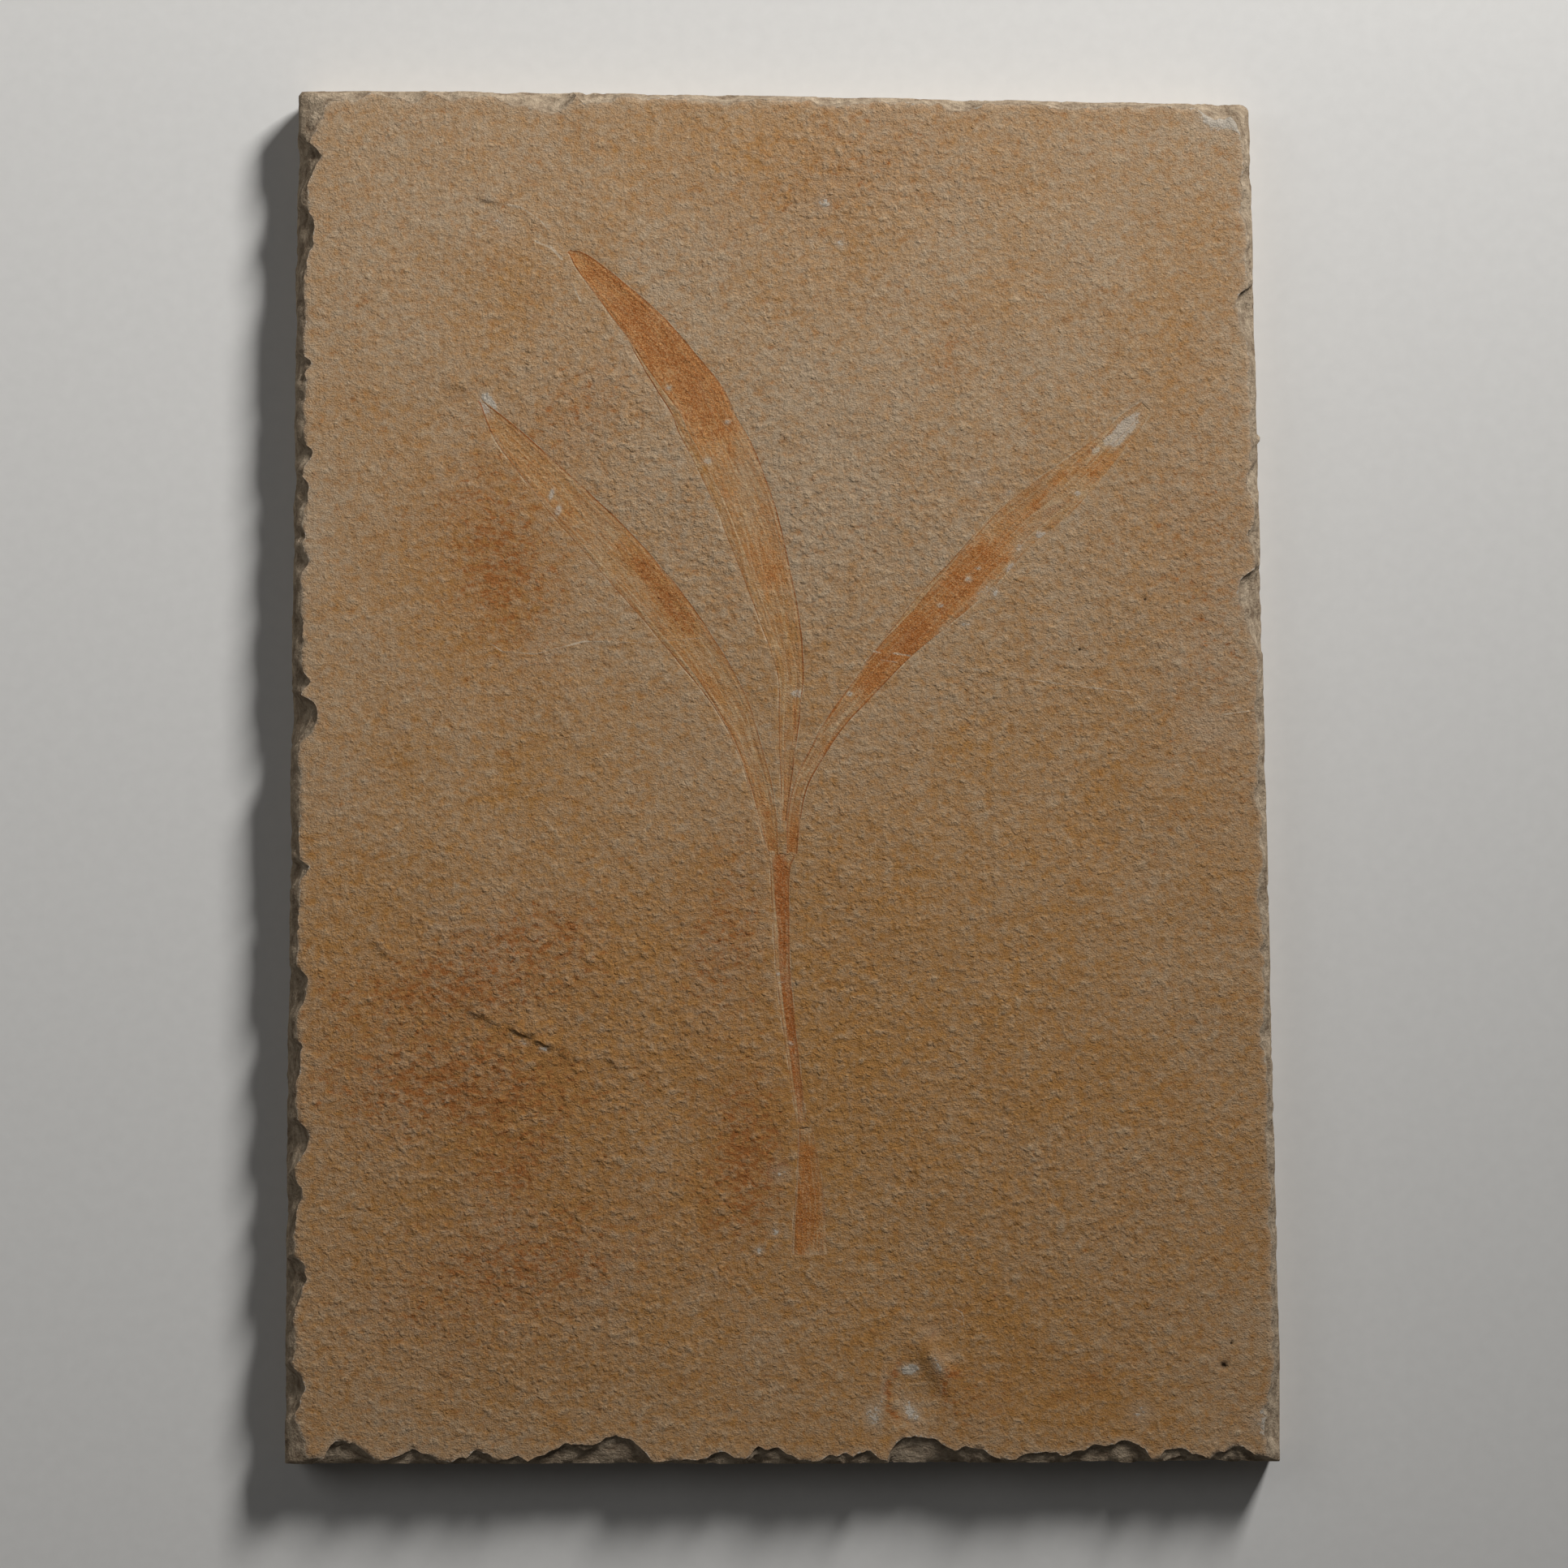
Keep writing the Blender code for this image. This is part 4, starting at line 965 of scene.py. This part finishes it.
def make_blade(name, tree, material):
    """One piece of the plant: a film along its stations, ribbed near both margins and veined lengthwise."""
    stations = BLADES[name]
    length = along_blade(stations, np.zeros(1))[3]
    breadth = max(station[2] for station in stations) + 2 * FILM_TUCK
    rows, columns = int(length / FILM_CELL), int(breadth / FILM_CELL)
    tuck = 0.0 if name == "stem_base" else FILM_TUCK / length
    shares = np.repeat(np.linspace(-tuck, 1.0 + tuck, rows), columns)
    sides = np.tile(np.linspace(-1, 1, columns), rows)
    middle, ahead, breadths, _ = along_blade(stations, shares)
    across = sides * (breadths / 2 + FILM_TUCK)
    aside = np.column_stack([ahead[:, 1], -ahead[:, 0]])
    flat = middle + aside * across[:, None]
    margin = middle + aside * (np.sign(sides) * breadths / 2)[:, None]
    inward = breadths / 2 + margin_wander(margin) - np.abs(across)
    left_line, right_line, strip = (np.interp(shares, *zip(*stops)) for stops in MARGIN_LINES[name])
    rib = RIB_RISE * np.exp(-(((np.abs(sides) - RIB_PLACE) / RIB_SPREAD) ** 2))
    height = bedding(*flat.T) - FILM_SINK + rib - TROUGH * np.cos(sides * math.pi / 2)
    height -= TUCK_DROP * np.clip(0.1 - inward / FILM_TUCK, 0, 1)
    first = np.arange((rows - 1) * columns).reshape(-1, columns)[:, :-1].ravel()
    faces = np.column_stack([first, first + columns, first + columns + 1, first + 1]).tolist()
    fields = {
        "across": across * MM,
        "along": shares * length * MM,
        "side": sides,
        "inward": inward * MM,
        "line": np.where(sides > 0, left_line, right_line),
        "bare": np.where(sides > 0, strip, 0.0) * MM,
        "seam": seam_share(*flat.T),
        "rust": patches(*flat.T, BLADE_RUST[name]),
        "pale": patches(*flat.T, BLADE_PALE[name]),
    }
    blade = new_mesh(name + "_film", np.column_stack([flat, height]), faces, fields)
    shell = bmesh.new()
    shell.from_mesh(blade.data)
    if sum(face.normal.z for face in shell.faces) < 0:
        bmesh.ops.reverse_faces(shell, faces=shell.faces)
    shell.to_mesh(blade.data)
    shell.free()
    sizes = {name: size * MM for name, size in VEINS.items()}
    finish_with_tree(blade, tree, {**sizes, "Seed": VEIN_SEED, "Film": material})
    thickness = blade.modifiers.new("thickness", "SOLIDIFY")
    thickness.thickness = FILM_THICKNESS * MM
    thickness.offset = -1.0
    keep_result(blade)
    shade_smoothly(blade)
    return blade


# Finishes


def start_material(name, roughness):
    """Matt material with a Principled shader, and the piece's own coordinates in metres."""
    material = bpy.data.materials.new(name)
    material.use_nodes = True
    tree = material.node_tree
    shader = tree.nodes["Principled BSDF"]
    for socket, value in (("Roughness", roughness), ("IOR", 1.5), ("Specular IOR Level", 0.25)):
        shader.inputs[socket].default_value = value
    return material, tree, shader, add(tree, "ShaderNodeTexCoord").outputs["Object"]


def surfaced(tree, shader, colour, height, depth, shade=1.0):
    """Give a shader its colour under a shade, and bumps of a depth in millimetres."""
    colour = add(tree, "ShaderNodeVectorMath", {0: colour, "Scale": shade}, operation="SCALE").outputs[0]
    tree.links.new(colour, shader.inputs["Base Color"])
    bump = add(tree, "ShaderNodeBump", {"Height": height, "Distance": depth * MM, "Strength": 1.0}).outputs[0]
    tree.links.new(bump, shader.inputs["Normal"])


def noises(tree, place, textures):
    """Noise at each size in millimetres, with its detail, roughness and, if given, distortion."""
    made = []
    for size, *character in textures:
        inputs = dict(zip(("Detail", "Roughness", "Distortion"), character))
        inputs |= {"Vector": place, "Scale": 1 / (size * MM)}
        made.append(add(tree, "ShaderNodeTexNoise", inputs).outputs[0])
    return made


def blended(tree, start, *terms):
    """A starting value and each field times its weight, summed."""
    for field, weight in terms:
        term = {0: field, 1: weight, 2: start}
        start = add(tree, "ShaderNodeMath", term, operation="MULTIPLY_ADD").outputs[0]
    return start


def ramp(tree, value, low, high, most=1.0, within=1.0, soft=False):
    """A share that rises from 0 to its most as a value goes from low to high, within a mask."""
    ends = {"Value": value, "From Min": low, "From Max": high, "To Max": most}
    shape = "SMOOTHSTEP" if soft else "LINEAR"
    share = add(tree, "ShaderNodeMapRange", ends, interpolation_type=shape).outputs[0]
    return add(tree, "ShaderNodeMath", {0: share, 1: within}, operation="MULTIPLY").outputs[0]


def stained(tree, colour, hex_colour, value, low=0.0, high=1.0, most=1.0, **limits):
    """A colour with another laid over it, more and more as a value goes from low to high."""
    over = {0: ramp(tree, value, low, high, most, **limits), 6: colour, 7: linear(hex_colour)}
    return add(tree, "ShaderNodeMix", over, data_type="RGBA", clamp_factor=True).outputs[2]


def off_middle(tree, value, middle):
    """How far a value lies from a middle one, either way."""
    off = add(tree, "ShaderNodeMath", {0: value, 1: middle}, operation="SUBTRACT").outputs[0]
    return add(tree, "ShaderNodeMath", {0: off}, operation="ABSOLUTE").outputs[0]


def contour_strokes(tree, curve, half_width):
    """Thin curved strokes where a noise crosses its middle value."""
    return ramp(tree, off_middle(tree, curve, 0.5), half_width, 0.0)


def lengthwise_noise(tree, across, along, breadth, length, detail, roughness):
    """Noise in strokes along a piece, of a breadth and length in millimetres."""
    spaced = add(tree, "ShaderNodeMath", {0: across, 1: breadth * MM}, operation="DIVIDE").outputs[0]
    drawn = add(tree, "ShaderNodeMath", {0: along, 1: length * MM}, operation="DIVIDE").outputs[0]
    place = add(tree, "ShaderNodeCombineXYZ", {0: spaced, 1: drawn}).outputs[0]
    character = {"Vector": place, "Scale": 1.0, "Detail": detail, "Roughness": roughness}
    return add(tree, "ShaderNodeTexNoise", character).outputs[0]


def weathered_face(tree, place, rust, ochre, pale, coarse, seam):
    """Colour and relief of the bedding face: beige, ochre in the lows, a painted highlight on the tops of the
    relief, rust clouds, flakes.
    """
    lumps = scattered_grains(tree, place, LUMP_SIZE * MM, LUMP_SEED, LUMP_SHARE)
    grains = scattered_grains(tree, place, GRAIN_SIZE * MM, GRAIN_SEED, GRAIN_SHARE)
    cloud, mottle, relief, grit, ragged, curl = noises(
        tree, place,
        (
            (22, 6.0, 0.6), (2.0, 5.0, 0.7), (1.7, 6.0, 0.64),
            (0.36, 2.0, 0.6), (1.0, 5.0, 0.6), (4.5, 4.0, 0.6),
        ),
    )
    turned = {"Vector": place, "Rotation": (0, 0, math.radians(RIPPLE_TURN)), "Scale": (1, RIPPLE_DRAW, 1)}
    drawn = add(tree, "ShaderNodeMapping", turned).outputs[0]
    fleck, ripple = noises(tree, drawn, ((2.0, 5.0, 0.72, 0.5), (3.4, 5.0, 0.6, 0.4)))

    ochre_tint = blended(tree, ochre, (cloud, 1.8), (mottle, 3.0), (relief, -0.8), (ripple, -0.8))
    colour = stained(tree, linear("#B39B7F"), "#AF7F47", ochre_tint, 1.15, 2.75)
    lows = blended(tree, 0.0, (relief, 0.4), (ripple, 0.6))
    colour = stained(tree, colour, "#96673A", lows, 0.45, 0.33, 0.5)
    # Painted highlight: the tops of the relief, lumps and grains are tinted paler cream, as the raking light
    # would light them.
    painted_crest_highlight = blended(tree, 0.0, (relief, 0.5), (ripple, 0.5), (lumps, 0.05), (grains, 0.04))
    colour = stained(tree, colour, "#C9B08E", painted_crest_highlight, 0.54, 0.68, 0.4)
    fleck = blended(tree, fleck, (ripple, -0.35), (relief, -0.15), (rust, 0.26))
    stroke = ramp(tree, mottle, 0.45, 0.6, 0.5, contour_strokes(tree, curl, 0.022))
    rusty = blended(tree, ramp(tree, fleck, 0.39, 0.52, 0.8), (rust, 0.25), (stroke, 0.8))
    colour = stained(tree, colour, "#A16533", rusty)
    colour = stained(tree, colour, "#A16533", rust, 0.88, 1.0, 0.6)
    colour = stained(tree, colour, "#B5A38D", blended(tree, pale, (mottle, 0.3)), 0.25, 0.75, 0.5)
    flaked = ramp(tree, blended(tree, ragged, (pale, 1.0)), 0.98, 1.12, 0.85, soft=True)
    colour = stained(tree, colour, "#BEB4A5", flaked)
    dashed = blended(tree, seam, (curl, 1.8), (ragged, 0.5))
    colour = stained(tree, colour, "#CDBBA2", dashed, 1.75, 2.2, 0.75)

    raised = ramp(tree, relief, 0.44, 0.78, soft=True)
    waved = ramp(tree, ripple, 0.42, 0.8, soft=True)
    height = blended(tree, 0.0, (raised, 1.3), (waved, 1.2), (relief, 0.5), (lumps, 1.2), (grains, 1.1))
    height = add(tree, "ShaderNodeMath", {0: height, 1: coarse}, operation="MULTIPLY").outputs[0]
    height = blended(tree, height, (raised, 0.3), (relief, 0.5), (grit, 1.3), (grains, 0.3), (flaked, 0.25))
    return colour, height, grit


def bedding_face_limestone():
    """Fine limestone split along its bedding: dry and matt, with a tooth of fine sand over low soft lumps."""
    material, tree, shader, place = start_material("bedding_face_limestone", 0.92)
    rust, ochre, pale, coarse, rim, welt, seam, pit_shade = (
        add(tree, "ShaderNodeAttribute", attribute_name=field).outputs["Fac"]
        for field in ("rust", "ochre", "pale", "coarse", "rim", "welt", "seam", "pit_shade")
    )
    pale = blended(tree, pale, (rim, 0.5))
    colour, height, grit = weathered_face(tree, place, rust, ochre, pale, coarse, seam)
    welt = blended(tree, -0.5, (welt, 1.0), (height, 0.1), (grit, 0.3))
    colour = stained(tree, colour, "#CFB998", welt, 0.1, 0.6, 0.6)
    # The shade varies the colour with the fine grit, and paints shade into the small pits.
    surfaced(tree, shader, colour, height, FACE_BUMP, blended(tree, 0.5, (grit, 0.96), (pit_shade, -0.75)))
    return material


def broken_edge_limestone():
    """Limestone broken across its layers by hand trimming: grey-beige, with fine lines along the bedding."""
    material, tree, shader, place = start_material("broken_edge_limestone", 0.88)
    drawn = add(tree, "ShaderNodeMapping", {"Vector": place, "Scale": (1, 1, 7)}).outputs[0]
    lines, = noises(tree, drawn, ((4.0, 6.0, 0.65),))
    rough, grit = noises(tree, place, ((2.2, 6.0, 0.68), (0.45, 2.0, 0.6)))
    layer = blended(tree, 0.0, (lines, 0.6), (rough, 0.4))
    colour = stained(tree, linear("#84705A"), "#C2AE94", layer, 0.38, 0.6)
    height = blended(tree, 0.0, (lines, 1.0), (rough, 1.0), (grit, 0.15))
    surfaced(tree, shader, colour, height, EDGE_BUMP, blended(tree, 0.62, (grit, 0.76)))
    return material


def split_back_limestone():
    """The back of the plate, split along another layer: pale buff, dusty and flat."""
    material, tree, shader, place = start_material("split_back_limestone", 0.9)
    dust, grain = noises(tree, place, ((22, 7.0, 0.6), (2, 5.0, 0.6)))
    surfaced(tree, shader, stained(tree, linear("#A08F73"), "#B9A98D", dust, 0.35, 0.65), grain, BACK_BUMP)
    return material


def iron_stained_film(name, film_colour):
    """What is left of the plant: iron rust on the pressed stone, in fine strokes along the blade, worn away
    in places, with thin darker lines along its margins."""
    material, tree, shader, place = start_material(name, 0.9)
    rust, pale, across, along, inward, bare, line, seam = (
        add(tree, "ShaderNodeAttribute", attribute_name=field).outputs["Fac"]
        for field in ("rust", "pale", "across", "along", "inward", "bare", "line", "seam")
    )
    colour, height, grit = weathered_face(tree, place, rust=0.0, ochre=0.5, pale=pale, coarse=0.25, seam=0.0)
    stroke, vein, scratch = (
        lengthwise_noise(tree, across, along, *style)
        for style in ((0.3, 3.0, 4.0, 0.7), (1.5, 30.0, 1.0, 0.5), (2.1, 22.0, 1.0, 0.5))
    )
    cloud, dapple, mottle, speck, hair = noises(
        tree, place, ((6, 5.0, 0.6), (2.2, 4.0, 0.6), (0.7, 4.0, 0.7), (0.32, 2.0, 0.6), (9, 1.0, 0.5))
    )

    unsteady = blended(tree, -0.2 * MM, (inward, 1.0), (mottle, 0.2 * MM), (stroke, 0.2 * MM))
    past_strip = blended(tree, unsteady, (bare, -1.0))
    colour = stained(tree, colour, "#B58650", 0.15)
    cover = blended(
        tree, -2.95, (rust, 1.3), (dapple, 1.5), (cloud, 1.6), (mottle, 0.9), (speck, 0.7), (stroke, 0.9),
        (pale, -1.0),
    )
    cover = ramp(tree, cover, -0.1, 0.8, within=ramp(tree, past_strip, -0.1 * MM, 0.2 * MM))
    colour = stained(tree, colour, film_colour, cover)
    colour = stained(tree, colour, "#C9AE86", contour_strokes(tree, hair, 0.004), most=0.45)

    line = ramp(tree, stroke, 0.2, 0.42, within=line)
    for value, start, end, most, hex_colour in (
        (unsteady, -0.1, 0.26, 1.0, "#874B22"), (past_strip, -0.3, 0.0, 0.5, "#C9AE86"),
        (past_strip, 0.0, 0.3, 0.7, "#97592A"), (past_strip, 0.8, 1.05, 0.4, "#97592A"),
    ):
        off, half = off_middle(tree, value, (start + end) / 2 * MM), (end - start) / 2 * MM
        colour = stained(tree, colour, hex_colour, off, 1.3 * half, 0.7 * half, most, within=line, soft=True)

    for curve, hex_colour, strength in ((vein, "#99602F", 0.55), (scratch, "#CFB690", 0.5)):
        curve = contour_strokes(tree, curve, 0.06)
        colour = stained(tree, colour, hex_colour, mottle, 0.4, 0.55, strength, within=curve)
    dark = blended(tree, -0.9, (mottle, 0.9), (speck, 0.9), (stroke, 0.6), (rust, 0.15))
    colour = stained(tree, colour, "#9A5F30", dark, 0.3, 0.7, within=cover)
    deep = blended(tree, -0.65, (rust, 0.8), (cloud, 1.2), (dapple, 1.6), (mottle, 0.7), (stroke, 0.4))
    colour = stained(tree, colour, "#9A5622", deep, 1.68, 2.25, 0.62, within=cover)
    colour = stained(tree, colour, "#CFA26F", speck, 0.5, 0.4, 0.4, within=cover)
    dashed = blended(tree, seam, (cloud, 1.8), (mottle, 0.5))
    colour = stained(tree, colour, "#CDBBA2", dashed, 1.7, 2.15, 0.75)
    height = blended(tree, height, (stroke, 0.25), (speck, 0.3))
    shade = blended(tree, 0.5, (grit, 0.75), (speck, -0.05), (mottle, 0.3))
    surfaced(tree, shader, colour, height, FACE_BUMP, shade)
    return material


def plain_floor():
    """Plain pale paper under the plate, with a faint tooth."""
    material, tree, shader, place = start_material("pale_floor", 0.9)
    tooth, = noises(tree, place, ((3, 3.0),))
    colour = stained(tree, linear("#DEDCD8"), "#E6E4E0", tooth)
    tree.links.new(colour, shader.inputs["Base Color"])
    return material


# Studio


def make_studio():
    """Pale floor, a raking key light from the upper right, a soft fill, and the camera straight above."""
    bpy.ops.mesh.primitive_plane_add(size=6.0, location=(0, 0, -0.0001))
    floor = bpy.context.object
    floor.name = "floor"
    floor.data.materials.append(plain_floor())

    for name, place, target, size, energy in LAMPS:
        light = bpy.data.lights.new(name, "AREA")
        light.size = size
        light.energy = energy
        lamp = bpy.data.objects.new(name, light)
        lamp.location = place
        lamp.rotation_euler = (Vector(target) - Vector(place)).to_track_quat("-Z", "Y").to_euler()
        bpy.context.scene.collection.objects.link(lamp)
    world = bpy.data.worlds.new("soft_fill")
    bpy.context.scene.world = world
    world.use_nodes = True
    world.node_tree.nodes["Background"].inputs["Color"].default_value = (1.0, 1.0, 1.0, 1.0)
    world.node_tree.nodes["Background"].inputs["Strength"].default_value = WORLD_FILL

    lens = bpy.data.cameras.new("camera")
    lens.lens = CAMERA_LENS
    lens.sensor_width = SENSOR
    camera = bpy.data.objects.new("camera", lens)
    distance = CAMERA_LENS / SENSOR * FRAME_WIDTH
    camera.location = (AIM[0] * MM, AIM[1] * MM, (THICKNESS + distance) * MM)
    bpy.context.scene.collection.objects.link(camera)
    bpy.context.scene.camera = camera
    bpy.context.scene.view_settings.view_transform = "Standard"


FILM_COLOURS = {
    "left_leaf": "#B8854D",
    "middle_leaf": "#C38A52",
    "right_leaf": "#BA7A3E",
    "stem": "#AE6228",
    "stem_base": "#B4722F",
}


def main():
    """The studio, then the plate and each piece of the plant in place of its solid."""
    make_studio()
    stone = make_stone(stone_relief_tree(), {
        "Face": bedding_face_limestone(),
        "Broken Edge": broken_edge_limestone(),
        "Back": split_back_limestone(),
    })
    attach(stone, "root")
    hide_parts("limestone_slab")

    veins = blade_relief_tree()
    for name in BLADES:
        film = iron_stained_film(name + "_rust", FILM_COLOURS[name])
        blade = make_blade(name, veins, film)
        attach(blade, "root")
        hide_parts(name)


main()
